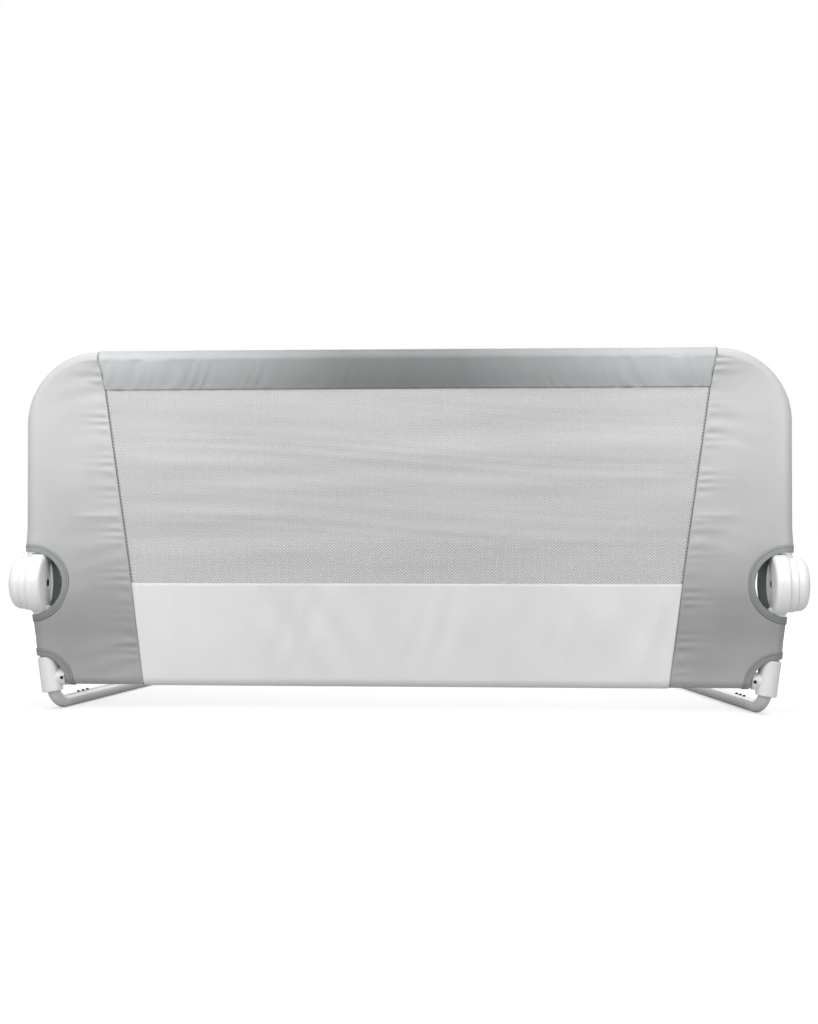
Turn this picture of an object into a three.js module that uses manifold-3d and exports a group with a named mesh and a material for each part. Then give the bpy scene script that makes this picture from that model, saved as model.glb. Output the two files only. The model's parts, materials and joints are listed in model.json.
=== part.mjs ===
// Folding bed guard rail: a cloth covered upper frame on two hinge hubs, standing on a
// lower frame whose two arms reach back under the mattress and swing in for storage.
// Millimetres, +Z up. The outer side faces -Y, the bed and its mattress lie towards +Y.
import * as THREE from 'three';
import { mergeVertices } from 'three/addons/utils/BufferGeometryUtils.js';
import Module from 'manifold-3d';

const wasm = await Module();
wasm.setup();

// Fits shared by all pieces
const fitGap = 0.3;
const cutOverrun = 2;
const seamGap = 0.3;
const weldTolerance = 0.001;

// Overall frame
const railHeight = 432;
const postHalfSpacing = 444.5;
const cornerBendRadius = 76;
const hubHeight = 153;
const legTopInset = 1.5;
const legLean = THREE.MathUtils.degToRad(8);

// Tubes
const frameTubeRadius = 10;
const frameTubeWall = 1.2;
const crossTubeRadius = 7.5;
const crossTubeWall = 1;
const crossTubeHeight = 40;
const armTubeRadius = 7.5;
const armTubeWall = 1.5;

// Under-mattress arms
const armLength = 400;
const armToeIn = THREE.MathUtils.degToRad(12);
const armTopRise = 1;
const footWidth = 22;
const footLength = 44;
const footTopRise = 2.5;
const footEndWall = 6;

// Rivets along the top of each arm
const rivetCount = 3;
const rivetFirstReach = 57;
const rivetSpacing = 11;
const rivetHeadRadius = 2.1;
const rivetHeadHeight = 1.3;
const rivetShankRadius = 1.1;
const rivetDomeShare = 0.7;

// Corner sockets, with heights measured from the cross tube
const socketRadius = 12.5;
const socketDrop = 17.5;
const socketRise = 24.5;
const socketWebRise = 6;
const socketMouthDrop = 6.5;
const socketMouthRadius = 10.7;
const stubReach = 20;
const stubRootRadius = 8;
const stubRimRadius = 10.2;
const stubRimLength = 5;
const crossTubeSeat = 7;
const socketScrewRadius = 2;
const socketScrewShank = 1.2;
const socketScrewHead = 1.2;
const socketScrewInset = 3.2;

// Cloth
const clothThickness = 1;
const sheetThickness = 2;
const netThickness = 1.2;
const topBandDepth = 46;
const seamTopInset = 0.5;
const seamRun = 57;
const foldGap = 5;
const hubCutClearance = 9.4;
const hubCutOffset = 5;
const cornerCutClearance = 8;
const cornerCutOffset = 12;
const cornerCutDrop = 8;

// Hinge hubs, measured outwards from the hub's inner face
const hubInnerSetback = 13.7;
const hubRadius = 36.6;
const lowerHalfThickness = 15.8;
const upperHalfThickness = 9.7;
const upperStepDepth = 3.8;
const upperRimWall = 1;
const upperFloorThickness = 2.5;
const upperBossWall = 2.2;
const upperEdgeRound = 0.8;
const hubEdgeRound = 5;
const hubNeckRadius = 11.4;
const hubNeckLength = 4.9;
const hubFloor = 4.6;
const spigotLength = 22;
const webThickness = 2.6;
const upperPocketDepth = 5.6;

// Lock gear and its spring
const gearTeeth = 12;
const gearTipRadius = 19;
const gearRootRadius = 16.2;
const gearThickness = 5;
const gearFaceSetback = 0.4;
const gearRecessRadius = 8.4;
const gearRecessDepth = 3.2;
const toothTipShare = 0.36;
const toothRootShare = 0.56;
const springRadius = 6.6;
const springWireRadius = 0.45;
const springTurns = 3;

// Pivot bolt and nut
const boltRadius = 3;
const boltHeadRadius = 4.8;
const boltHeadHeight = 2.2;
const boltSocketRadius = 2.4;
const boltSocketDepth = 1.6;
const boltHeadRecess = 0.4;
const nutRadius = 5.6;
const nutHeight = 3.4;
const nutFlangeRadius = 7.4;
const nutFlangeHeight = 1.2;

// Release button
const buttonTravel = 3.5;
const buttonProjection = 17.8;
const buttonWall = 2.6;
const buttonCrown = 3.4;
const buttonEdgeRadius = 9;
const buttonLegRadius = 2.2;
const buttonLegCircle = 12.5;
const buttonLegCount = 3;

// Facets round each form
const tubeSides = 12;
const hubSides = 36;
const smallSides = 10;
const bendSteps = 8;
const hexSides = 6;
const footCrownSteps = 6;
const lowerEdgeSteps = 3;
const upperEdgeSteps = 1;
const buttonEdgeSteps = 5;
const buttonInnerEdgeSteps = 2;
const springStepsPerTurn = 8;
const springWireSides = 5;

// Sizes worked out from the ones above
const sleeveRadius = frameTubeRadius + fitGap + clothThickness;
const hemRadius = crossTubeRadius + fitGap + clothThickness;
const topTubeHeight = railHeight - sleeveRadius;
const bandBottom = railHeight - topBandDepth;
const hemBottom = crossTubeHeight - hemRadius;
const seamTopHalfWidth = postHalfSpacing - cornerBendRadius - seamTopInset;
const seamBottomHalfWidth = seamTopHalfWidth - seamRun;
const legTopHalfSpacing = postHalfSpacing - legTopInset;
const leanShare = Math.tan(legLean);
const socketBottom = crossTubeHeight - socketDrop;
const socketTop = crossTubeHeight + socketRise;
const socketWebTop = crossTubeHeight + socketWebRise;
const socketMouthTop = crossTubeHeight - socketMouthDrop;
const armHeight = armTubeRadius;
const armTopHeight = crossTubeHeight + armTopRise;
const armBendRadius = socketMouthTop - armHeight;
const hubInnerFace = postHalfSpacing - hubInnerSetback;
const hubNeckReach = hubRadius + hubNeckLength;
const hubCutRadius = hubRadius + hubCutClearance;
const upperRimRadius = hubRadius - upperStepDepth;
const wellRadius = upperRimRadius - upperRimWall;
const buttonRadius = wellRadius - fitGap;
const upperHalfStart = lowerHalfThickness + fitGap;
const upperHalfEnd = upperHalfStart + upperHalfThickness;
const wellFloor = upperHalfStart + upperFloorThickness;
const upperWebStart = upperHalfStart + upperPocketDepth;
const upperWebEnd = upperWebStart + webThickness;
const upperBossRadius = gearTipRadius + fitGap + upperBossWall;
const gearStart = lowerHalfThickness - gearFaceSetback - gearThickness;
const gearEnd = gearStart + gearThickness;
const nutStart = upperWebEnd + fitGap;
const buttonStart = wellFloor + buttonTravel + fitGap;
const buttonEnd = upperHalfEnd + buttonProjection;

function legCentre(height) {
  return legTopHalfSpacing - (hubHeight - height) * leanShare;
}

const cornerCutHeight = crossTubeHeight - cornerCutDrop;
const cornerCutHalfSpacing = legCentre(cornerCutHeight) + cornerCutOffset;
const cornerCutRadius = socketRise + cornerCutDrop + cornerCutClearance;

function seamHalfWidth(height) {
  const share = (height - hemBottom) / (railHeight - hemBottom);
  return THREE.MathUtils.lerp(seamBottomHalfWidth, seamTopHalfWidth, share);
}

// Finishes
function finish(color, roughness, metalness = 0) {
  return new THREE.MeshStandardMaterial({ color, roughness, metalness });
}

const finishes = {
  whitePlastic: () => finish(0xf1f2f2, 0.4),
  paleTube: () => finish(0xdfe0e1, 0.35, 0.2),
  greyCloth: () => finish(0xa9abad, 0.85),
  darkCloth: () => finish(0x999da0, 0.8),
  net: () => finish(0xc2c2c2, 0.9),
  paleCloth: () => finish(0xe0e1e1, 0.85),
  darkSteel: () => finish(0x3a3b3d, 0.4, 0.7),
  brightSteel: () => finish(0xb9bbbd, 0.3, 0.9),
  gearPlastic: () => finish(0x5c5f63, 0.5),
  footRubber: () => finish(0x4a4b4d, 0.9),
};

// Closed meshes, and booleans on them
const tetrahedronShare = 1 / 6;

function weld(geometry) {
  const bare = geometry.clone();
  bare.deleteAttribute('normal');
  bare.deleteAttribute('uv');
  const merged = mergeVertices(bare, weldTolerance);
  const corners = merged.index.array;
  const kept = [];
  for (let i = 0; i < corners.length; i += 3) {
    const [a, b, c] = [corners[i], corners[i + 1], corners[i + 2]];
    if (a !== b && b !== c && c !== a) kept.push(a, b, c);
  }
  merged.setIndex(kept);
  return merged;
}

function enclosedVolume(geometry) {
  const place = geometry.getAttribute('position');
  const corners = geometry.index.array;
  const [a, b, c] = [new THREE.Vector3(), new THREE.Vector3(), new THREE.Vector3()];
  let volume = 0;
  for (let i = 0; i < corners.length; i += 3) {
    a.fromBufferAttribute(place, corners[i]);
    b.fromBufferAttribute(place, corners[i + 1]);
    c.fromBufferAttribute(place, corners[i + 2]);
    volume += a.dot(b.cross(c)) * tetrahedronShare;
  }
  return volume;
}

function facingOut(geometry) {
  const welded = weld(geometry);
  if (enclosedVolume(welded) < 0) {
    const corners = welded.index.array;
    for (let i = 0; i < corners.length; i += 3) {
      [corners[i + 1], corners[i + 2]] = [corners[i + 2], corners[i + 1]];
    }
  }
  return welded;
}

function solidOf(geometry) {
  const closed = facingOut(geometry);
  const vertProperties = new Float32Array(closed.getAttribute('position').array);
  const triVerts = new Uint32Array(closed.index.array);
  return new wasm.Manifold(new wasm.Mesh({ numProp: 3, vertProperties, triVerts }));
}

function geometryOf(solid) {
  const mesh = solid.getMesh();
  const geometry = new THREE.BufferGeometry();
  const places = new Float32Array(mesh.vertProperties);
  geometry.setAttribute('position', new THREE.BufferAttribute(places, 3));
  geometry.setIndex(Array.from(mesh.triVerts));
  return geometry;
}

function joined(solids) {
  return solids.reduce((whole, next) => whole.add(next));
}

function without(solid, cutters) {
  return cutters.reduce((rest, cutter) => rest.subtract(cutter), solid);
}

// The left piece of a pair is its right piece seen in a mirror
function mirrored(geometry) {
  const twin = geometry.clone();
  twin.scale(-1, 1, 1);
  return facingOut(twin);
}

// Basic forms
function circle(radius, sides, turn = 0) {
  return Array.from({ length: sides }, (_, i) => {
    const angle = turn + (2 * Math.PI * i) / sides;
    return new THREE.Vector2(radius * Math.cos(angle), radius * Math.sin(angle));
  });
}

// A path of straight runs whose corners are rounded, with its steps on the bends
class BentPath extends THREE.Curve {
  constructor(corners, bendRadius, steps) {
    super();
    this.places = [];
    this.headings = [];
    const last = corners.length - 1;
    this.addStation(corners[0], corners[1].clone().sub(corners[0]).normalize());
    for (let i = 1; i < last; i += 1) {
      this.addBend(corners[i - 1], corners[i], corners[i + 1], bendRadius, steps);
    }
    this.addStation(corners[last], corners[last].clone().sub(corners[last - 1]).normalize());
  }

  addStation(place, heading) {
    this.places.push(place.clone());
    this.headings.push(heading.clone());
  }

  addBend(before, corner, after, bendRadius, steps) {
    const inward = corner.clone().sub(before).normalize();
    const outward = after.clone().sub(corner).normalize();
    const turn = inward.angleTo(outward);
    const setback = bendRadius * Math.tan(turn / 2);
    const start = corner.clone().addScaledVector(inward, -setback);
    const axis = inward.clone().cross(outward).normalize();
    const toCentre = axis.clone().cross(inward);
    const centre = start.clone().addScaledVector(toCentre, bendRadius);
    for (let i = 0; i <= steps; i += 1) {
      const angle = (turn * i) / steps;
      const arm = start.clone().sub(centre).applyAxisAngle(axis, angle);
      this.addStation(arm.add(centre), inward.clone().applyAxisAngle(axis, angle));
    }
  }

  station(share, list, target) {
    const along = share * (list.length - 1);
    const low = Math.min(Math.floor(along), list.length - 2);
    return target.copy(list[low]).lerp(list[low + 1], along - low);
  }

  getPoint(share, target = new THREE.Vector3()) {
    return this.station(share, this.places, target);
  }

  getPointAt(share, target) {
    return this.getPoint(share, target);
  }

  getTangent(share, target = new THREE.Vector3()) {
    return this.station(share, this.headings, target).normalize();
  }

  getTangentAt(share, target) {
    return this.getTangent(share, target);
  }

  getSpacedPoints(divisions) {
    return this.getPoints(divisions);
  }
}

function bentBar(corners, bendRadius, radius, boreRadius = 0, sides = tubeSides) {
  const path = new BentPath(corners, bendRadius, bendSteps);
  const section = new THREE.Shape(circle(radius, sides));
  if (boreRadius > 0) section.holes.push(new THREE.Path(circle(boreRadius, sides)));
  const steps = path.places.length - 1;
  return new THREE.ExtrudeGeometry(section, { steps, extrudePath: path });
}

function straightBar(from, to, radius, boreRadius = 0, sides = tubeSides) {
  const section = new THREE.Shape(circle(radius, sides, Math.PI / sides));
  if (boreRadius > 0) {
    section.holes.push(new THREE.Path(circle(boreRadius, sides, Math.PI / sides)));
  }
  const extrudePath = new THREE.LineCurve3(from, to);
  return new THREE.ExtrudeGeometry(section, { steps: 1, extrudePath });
}

// A plate whose outline lies in the X-Z plane, centred on y
function plate(outline, thickness, y = 0) {
  const options = { depth: thickness, bevelEnabled: false };
  const geometry = new THREE.ExtrudeGeometry(new THREE.Shape(outline), options);
  geometry.rotateX(Math.PI / 2);
  geometry.translate(0, y + thickness / 2, 0);
  return geometry;
}

// A round form about an axis along X, from [radius, x] pairs
function turnedAlongX(profile, sides) {
  const points = profile.map(([radius, x]) => new THREE.Vector2(radius, x));
  const geometry = new THREE.LatheGeometry(points, sides);
  geometry.rotateZ(-Math.PI / 2);
  return geometry;
}

function discAlongX(radius, start, end, sides) {
  return turnedAlongX([[0, start], [radius, start], [radius, end], [0, end]], sides);
}

function quarterRound(centreRadius, centreX, radius, startAngle, steps) {
  return Array.from({ length: steps + 1 }, (_, i) => {
    const angle = startAngle + (Math.PI / 2) * (i / steps);
    return [centreRadius + radius * Math.cos(angle), centreX + radius * Math.sin(angle)];
  });
}

// Group that holds every piece, set so that its box is centred over the origin
const armDirection = new THREE.Vector3(-Math.sin(armToeIn), Math.cos(armToeIn), 0);
const armCorner = new THREE.Vector3(legCentre(armHeight), 0, armHeight);
const armEnd = armCorner.clone().addScaledVector(armDirection, armLength);
const rearReach = armEnd.y + (footWidth / 2) * Math.sin(armToeIn);
const rail = new THREE.Group();
const pieces = new THREE.Group();
pieces.position.y = -(rearReach - hubRadius) / 2;
rail.add(pieces);

function addPiece(name, geometry, material) {
  const mesh = new THREE.Mesh(facingOut(geometry), material);
  mesh.name = name;
  pieces.add(mesh);
}

function addPair(name, geometry, material) {
  addPiece(`${name}_right`, geometry, material());
  addPiece(`${name}_left`, mirrored(geometry), material());
}

// Upper frame: one tube bent twice
function upperFramePath(startHeight) {
  return [
    new THREE.Vector3(-postHalfSpacing, 0, startHeight),
    new THREE.Vector3(-postHalfSpacing, 0, topTubeHeight),
    new THREE.Vector3(postHalfSpacing, 0, topTubeHeight),
    new THREE.Vector3(postHalfSpacing, 0, startHeight),
  ];
}

const frameBore = frameTubeRadius - frameTubeWall;
const postStart = hubHeight + hubNeckReach + fitGap;
const upperPath = upperFramePath(postStart);
addPiece(
  'guard_frame_tube',
  bentBar(upperPath, cornerBendRadius, frameTubeRadius, frameBore),
  finishes.paleTube(),
);

// Lower frame: two leaning legs and a cross tube
function onLeg(height, reach = 0) {
  return new THREE.Vector3(legCentre(height) - reach, 0, height);
}

const legTop = hubHeight - hubNeckReach - fitGap;
const legBottom = socketWebTop + fitGap;
const legTube = straightBar(onLeg(legTop), onLeg(legBottom), frameTubeRadius, frameBore);
addPair('leg_tube', legTube, finishes.paleTube);

const stubRimEnd = legCentre(crossTubeHeight) - stubReach;
const crossTubeEnd = stubRimEnd + crossTubeSeat;
function crossBar(halfLength, radius, boreRadius = 0) {
  const left = new THREE.Vector3(-halfLength, 0, crossTubeHeight);
  const right = new THREE.Vector3(halfLength, 0, crossTubeHeight);
  return straightBar(left, right, radius, boreRadius);
}

// Screw through the front of each socket's stub and the cross tube's wall
const screwPlace = stubRimEnd + socketScrewInset;
function screwBar(front, back, radius) {
  const from = new THREE.Vector3(screwPlace, front, crossTubeHeight);
  const to = new THREE.Vector3(screwPlace, back, crossTubeHeight);
  return straightBar(from, to, radius, 0, smallSides);
}

const screwSeat = -stubRimRadius;
const screwTip = -(crossTubeRadius - crossTubeWall - cutOverrun);
const screwHole = solidOf(screwBar(-stubRimRadius - cutOverrun, 0, socketScrewShank + fitGap));
const screwHoles = [screwHole, solidOf(mirrored(geometryOf(screwHole)))];
const crossTubeBore = crossTubeRadius - crossTubeWall;
const crossTube = without(solidOf(crossBar(crossTubeEnd, crossTubeRadius, crossTubeBore)), screwHoles);
addPiece('cross_tube', geometryOf(crossTube), finishes.paleTube());

const headBack = screwSeat - fitGap;
const screwHead = solidOf(screwBar(headBack - socketScrewHead, headBack, socketScrewRadius));
const screwShank = solidOf(screwBar(headBack - socketScrewHead / 2, screwTip, socketScrewShank));
addPair('socket_screw', geometryOf(screwHead.add(screwShank)), finishes.darkSteel);

// The socket's bore opens out below, where the arm's bend begins
function socketMouth() {
  const boreRadius = armTubeRadius + fitGap;
  const flare = (socketMouthRadius - boreRadius) / (socketMouthTop - socketBottom);
  const low = onLeg(socketBottom - cutOverrun);
  const high = onLeg(socketMouthTop);
  const lowRadius = socketMouthRadius + flare * cutOverrun;
  const depth = high.distanceTo(low);
  const cone = new THREE.CylinderGeometry(boreRadius, lowRadius, depth, 2 * tubeSides);
  cone.rotateX(Math.PI / 2);
  cone.rotateY(legLean);
  const centre = low.add(high).multiplyScalar(0.5);
  cone.translate(centre.x, centre.y, centre.z);
  return solidOf(cone);
}

// Corner socket: a sleeve for the leg above and the arm below, with a flared stub
function cornerSocket() {
  const sleeve = straightBar(onLeg(socketBottom), onLeg(socketTop), socketRadius, 0, 2 * tubeSides);
  const stubProfile = [
    [0, stubRimEnd],
    [stubRimRadius, stubRimEnd],
    [stubRimRadius, stubRimEnd + stubRimLength],
    [stubRootRadius, stubRimEnd + stubReach],
    [0, stubRimEnd + stubReach],
  ];
  const stub = turnedAlongX(stubProfile, 2 * tubeSides);
  stub.translate(0, 0, crossTubeHeight);
  const legBore = straightBar(
    onLeg(socketTop + cutOverrun),
    onLeg(socketWebTop),
    frameTubeRadius + fitGap,
  );
  const armBore = straightBar(
    onLeg(armTopHeight + fitGap),
    onLeg(socketBottom - cutOverrun),
    armTubeRadius + fitGap,
  );
  const tubeBore = straightBar(
    new THREE.Vector3(stubRimEnd - cutOverrun, 0, crossTubeHeight),
    new THREE.Vector3(crossTubeEnd + fitGap, 0, crossTubeHeight),
    crossTubeRadius + fitGap,
  );
  const cutters = [solidOf(legBore), solidOf(armBore), socketMouth(), solidOf(tubeBore), screwHole];
  return geometryOf(without(joined([solidOf(sleeve), solidOf(stub)]), cutters));
}

addPair('corner_socket', cornerSocket(), finishes.whitePlastic);

// Arm: drops out of the socket, bends and runs back under the mattress
function onArm(reach, rise = 0) {
  const place = armCorner.clone().addScaledVector(armDirection, reach);
  place.z += rise;
  return place;
}

function rivetBar(reach, low, high, radius) {
  return straightBar(onArm(reach, low), onArm(reach, high), radius, 0, smallSides);
}

const rivetReaches = Array.from(
  { length: rivetCount },
  (_, i) => rivetFirstReach + i * rivetSpacing,
);
const tubeEndReach = armLength - footEndWall;
const armCorners = [onLeg(armTopHeight), armCorner, onArm(tubeEndReach)];
const armBore = armTubeRadius - armTubeWall;
const armSolid = solidOf(bentBar(armCorners, armBendRadius, armTubeRadius, armBore));
const rivetCuts = rivetReaches.map((reach) => solidOf(
  rivetBar(reach, 0, armTubeRadius + cutOverrun, rivetShankRadius + fitGap),
));
addPair('base_arm_tube', geometryOf(without(armSolid, rivetCuts)), finishes.paleTube);

function rivet(reach) {
  const seat = armTubeRadius + fitGap;
  const shankStart = armTubeRadius - 2 * armTubeWall;
  const shank = rivetBar(reach, shankStart, seat + rivetHeadHeight / 2, rivetShankRadius);
  const low = rivetBar(reach, seat, seat + rivetHeadHeight / 2, rivetHeadRadius);
  const high = rivetBar(reach, seat, seat + rivetHeadHeight, rivetHeadRadius * rivetDomeShare);
  return joined([solidOf(shank), solidOf(low), solidOf(high)]);
}

rivetReaches.forEach((reach, i) => {
  addPair(`arm_rivet_${i + 1}`, geometryOf(rivet(reach)), finishes.darkSteel);
});

function armFoot() {
  const side = footWidth / 2;
  const section = new THREE.Shape();
  section.moveTo(-side, 0);
  section.lineTo(side, 0);
  section.lineTo(side, armHeight);
  section.absellipse(0, armHeight, side, armHeight + footTopRise, 0, Math.PI, false, 0);
  section.lineTo(-side, 0);
  const options = { depth: footLength, bevelEnabled: false, curveSegments: footCrownSteps };
  const block = new THREE.ExtrudeGeometry(section, options);
  block.rotateX(Math.PI / 2);
  block.rotateZ(armToeIn);
  const end = onArm(armLength);
  block.translate(end.x, end.y, 0);
  const boreStart = onArm(armLength - footLength - cutOverrun);
  const bore = straightBar(boreStart, onArm(tubeEndReach + fitGap), armTubeRadius + fitGap);
  return geometryOf(solidOf(block).subtract(solidOf(bore)));
}

addPair('arm_foot', armFoot(), finishes.footRubber);

// Hub pieces are drawn about the hub's axis and then moved to the hub
function atHub(geometry) {
  const placed = geometry.clone();
  placed.translate(hubInnerFace, 0, hubHeight);
  return placed;
}

function gearOutline(extra) {
  const tip = gearTipRadius + extra;
  const root = gearRootRadius + extra;
  const pitch = (2 * Math.PI) / gearTeeth;
  const tipHalf = (pitch * toothTipShare) / 2 + extra / tip;
  const rootHalf = (pitch * toothRootShare) / 2 + extra / root;
  const corners = [[root, -rootHalf], [tip, -tipHalf], [tip, tipHalf], [root, rootHalf]];
  const points = [];
  for (let tooth = 0; tooth < gearTeeth; tooth += 1) {
    for (const [radius, offset] of corners) {
      const angle = tooth * pitch + offset;
      points.push(new THREE.Vector2(radius * Math.cos(angle), radius * Math.sin(angle)));
    }
  }
  return points;
}

function gearBar(start, end, extra) {
  const section = new THREE.Shape(gearOutline(extra));
  const geometry = new THREE.ExtrudeGeometry(section, { depth: end - start, bevelEnabled: false });
  geometry.rotateY(Math.PI / 2);
  geometry.translate(start, 0, 0);
  return geometry;
}

// One half of the hub: a disc whose outer edge is rounded on one face
function lowerDisc() {
  const centre = hubRadius - hubEdgeRound;
  const edge = quarterRound(centre, hubEdgeRound, hubEdgeRound, -Math.PI / 2, lowerEdgeSteps);
  const face = [[hubRadius, lowerHalfThickness], [0, lowerHalfThickness]];
  return turnedAlongX([[0, 0], ...edge, ...face], hubSides);
}

function upperDisc() {
  const centre = upperRimRadius - upperEdgeRound;
  const edge = quarterRound(centre, upperHalfEnd - upperEdgeRound, upperEdgeRound, 0, upperEdgeSteps);
  const face = [[0, upperHalfStart], [upperRimRadius, upperHalfStart]];
  return turnedAlongX([...face, ...edge, [0, upperHalfEnd]], hubSides);
}

// A neck runs from the disc to the tube, and its spigot fills the tube's end
function neckWithSpigot(direction, centreOffset) {
  const centre = new THREE.Vector3(centreOffset, 0, 0);
  const at = (reach) => centre.clone().addScaledVector(direction, reach);
  const neckEnds = [at(hubRadius / 2), at(hubNeckReach)];
  const neck = straightBar(...neckEnds, hubNeckRadius, 0, 2 * tubeSides);
  const spigot = straightBar(at(hubRadius), at(hubNeckReach + spigotLength), frameBore - fitGap);
  return { neck: solidOf(neck), spigot: solidOf(spigot) };
}

function lowerHubHalf() {
  const direction = new THREE.Vector3(-leanShare, 0, -1);
  const { neck, spigot } = neckWithSpigot(direction, legTopHalfSpacing - hubInnerFace);
  const sweepRadius = hubRadius + 2 * fitGap;
  const sweep = solidOf(discAlongX(sweepRadius, lowerHalfThickness, 2 * upperHalfEnd, hubSides));
  const body = joined([neck.subtract(sweep), spigot, solidOf(lowerDisc())]);
  const pocket = solidOf(gearBar(hubFloor, lowerHalfThickness + cutOverrun, fitGap));
  const bolt = discAlongX(boltRadius + fitGap, -cutOverrun, hubFloor + cutOverrun, smallSides);
  const headSeat = boltHeadRecess + boltHeadHeight + fitGap;
  const head = discAlongX(boltHeadRadius + fitGap, -cutOverrun, headSeat, 2 * smallSides);
  return geometryOf(without(body, [pocket, solidOf(bolt), solidOf(head)]));
}

// One of the button's legs, or the hole that it slides in
function buttonLeg(index, start, end, radius) {
  const angle = (2 * Math.PI * index) / buttonLegCount + Math.PI / 2;
  const y = buttonLegCircle * Math.cos(angle);
  const z = buttonLegCircle * Math.sin(angle);
  const leg = discAlongX(radius, start, end, smallSides);
  leg.translate(0, y, z);
  return solidOf(leg);
}

function upperHubHalf() {
  const upward = new THREE.Vector3(0, 0, 1);
  const { neck, spigot } = neckWithSpigot(upward, postHalfSpacing - hubInnerFace);
  const sweepRadius = hubRadius + 2 * fitGap;
  const sweep = solidOf(discAlongX(sweepRadius, -upperHalfEnd, upperHalfStart, hubSides));
  const body = joined([neck.subtract(sweep), spigot, solidOf(upperDisc())]);
  const pocket = solidOf(gearBar(upperHalfStart - cutOverrun, upperWebStart, fitGap));
  const boss = solidOf(discAlongX(upperBossRadius, upperHalfStart, upperWebEnd, hubSides));
  const wellEnd = upperHalfEnd + cutOverrun;
  const well = solidOf(discAlongX(wellRadius, wellFloor, wellEnd, hubSides)).subtract(boss);
  const bolt = solidOf(discAlongX(boltRadius + fitGap, upperHalfStart, upperHalfEnd, smallSides));
  const holes = [];
  for (let i = 0; i < buttonLegCount; i += 1) {
    holes.push(buttonLeg(i, upperHalfStart, upperHalfEnd, buttonLegRadius + fitGap));
  }
  return geometryOf(without(body, [pocket, well, bolt, ...holes]));
}

addPair('hub_lower_half', atHub(lowerHubHalf()), finishes.whitePlastic);
addPair('hub_upper_half', atHub(upperHubHalf()), finishes.whitePlastic);

// Lock gear, shown drawn back into the lower half as when the button is pressed
function lockGear() {
  const blank = solidOf(gearBar(gearStart, gearEnd, 0));
  const below = gearStart - cutOverrun;
  const bore = discAlongX(boltRadius + fitGap, below, gearEnd + cutOverrun, smallSides);
  const recess = discAlongX(gearRecessRadius, below, gearStart + gearRecessDepth, 2 * smallSides);
  return geometryOf(without(blank, [solidOf(bore), solidOf(recess)]));
}

addPair('lock_gear', atHub(lockGear()), finishes.gearPlastic);

// Coil spring between the hub's floor and the gear's recess
function lockSpring() {
  const start = hubFloor + fitGap + springWireRadius;
  const end = gearStart + gearRecessDepth - fitGap - springWireRadius;
  const steps = springTurns * springStepsPerTurn;
  const places = [];
  for (let i = 0; i <= steps; i += 1) {
    const angle = (2 * Math.PI * i) / springStepsPerTurn;
    const x = THREE.MathUtils.lerp(start, end, i / steps);
    const y = springRadius * Math.cos(angle);
    places.push(new THREE.Vector3(x, y, springRadius * Math.sin(angle)));
  }
  const path = new THREE.CatmullRomCurve3(places);
  const section = new THREE.Shape(circle(springWireRadius, springWireSides));
  return new THREE.ExtrudeGeometry(section, { steps, extrudePath: path });
}

addPair('lock_spring', atHub(lockSpring()), finishes.brightSteel);

// Pivot bolt from the inner face, with a flanged nut in the upper half's well
function pivotBolt() {
  const headEnd = boltHeadRecess + boltHeadHeight;
  const shankEnd = nutStart + nutHeight;
  const head = solidOf(discAlongX(boltHeadRadius, boltHeadRecess, headEnd, 2 * smallSides));
  const shank = solidOf(discAlongX(boltRadius, headEnd - boltHeadHeight / 2, shankEnd, smallSides));
  const driveEnd = boltHeadRecess + boltSocketDepth;
  const drive = solidOf(discAlongX(boltSocketRadius, -cutOverrun, driveEnd, hexSides));
  return geometryOf(head.add(shank).subtract(drive));
}

function pivotNut() {
  const flangeEnd = nutStart + nutFlangeHeight;
  const nutEnd = nutStart + nutHeight;
  const flange = solidOf(discAlongX(nutFlangeRadius, nutStart, flangeEnd, 2 * smallSides));
  const hexagon = solidOf(discAlongX(nutRadius, flangeEnd - nutFlangeHeight / 2, nutEnd, hexSides));
  const boreRadius = boltRadius + fitGap;
  const bore = discAlongX(boreRadius, nutStart - cutOverrun, nutEnd + cutOverrun, smallSides);
  return geometryOf(flange.add(hexagon).subtract(solidOf(bore)));
}

addPair('pivot_bolt', atHub(pivotBolt()), finishes.darkSteel);
addPair('pivot_nut', atHub(pivotNut()), finishes.brightSteel);

// Release button: a crowned cap with legs that reach through to the gear
function releaseButton() {
  const shoulder = buttonEnd - buttonCrown - buttonEdgeRadius;
  const centre = buttonRadius - buttonEdgeRadius;
  const outerEdge = quarterRound(centre, shoulder, buttonEdgeRadius, 0, buttonEdgeSteps);
  const innerRound = buttonEdgeRadius - buttonWall;
  const innerEdge = quarterRound(centre, shoulder, innerRound, 0, buttonInnerEdgeSteps).reverse();
  const rim = [buttonRadius, buttonStart];
  const innerRim = [buttonRadius - buttonWall, buttonStart];
  const roof = buttonEnd - buttonWall;
  const profile = [rim, ...outerEdge, [0, buttonEnd], [0, roof], ...innerEdge, innerRim, rim];
  const cap = solidOf(turnedAlongX(profile, hubSides));
  const legRoot = roof + (buttonWall - buttonCrown) / 2;
  const legs = [];
  for (let i = 0; i < buttonLegCount; i += 1) {
    legs.push(buttonLeg(i, gearEnd + fitGap, legRoot, buttonLegRadius));
  }
  return geometryOf(joined([cap, ...legs]));
}

addPair('release_button', atHub(releaseButton()), finishes.whitePlastic);

// Cloth. Each cover starts as one sheet with sleeves, and is cut along its seams
function throughCut(x, z, radius) {
  const from = new THREE.Vector3(x, -2 * sleeveRadius, z);
  const to = new THREE.Vector3(x, 2 * sleeveRadius, z);
  return solidOf(straightBar(from, to, radius, 0, hubSides));
}

function bothSides(cutter) {
  return [cutter, solidOf(mirrored(geometryOf(cutter)))];
}

const hubCuts = bothSides(throughCut(legTopHalfSpacing + hubCutOffset, hubHeight, hubCutRadius));
const cornerCuts = bothSides(throughCut(cornerCutHalfSpacing, cornerCutHeight, cornerCutRadius));

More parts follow.
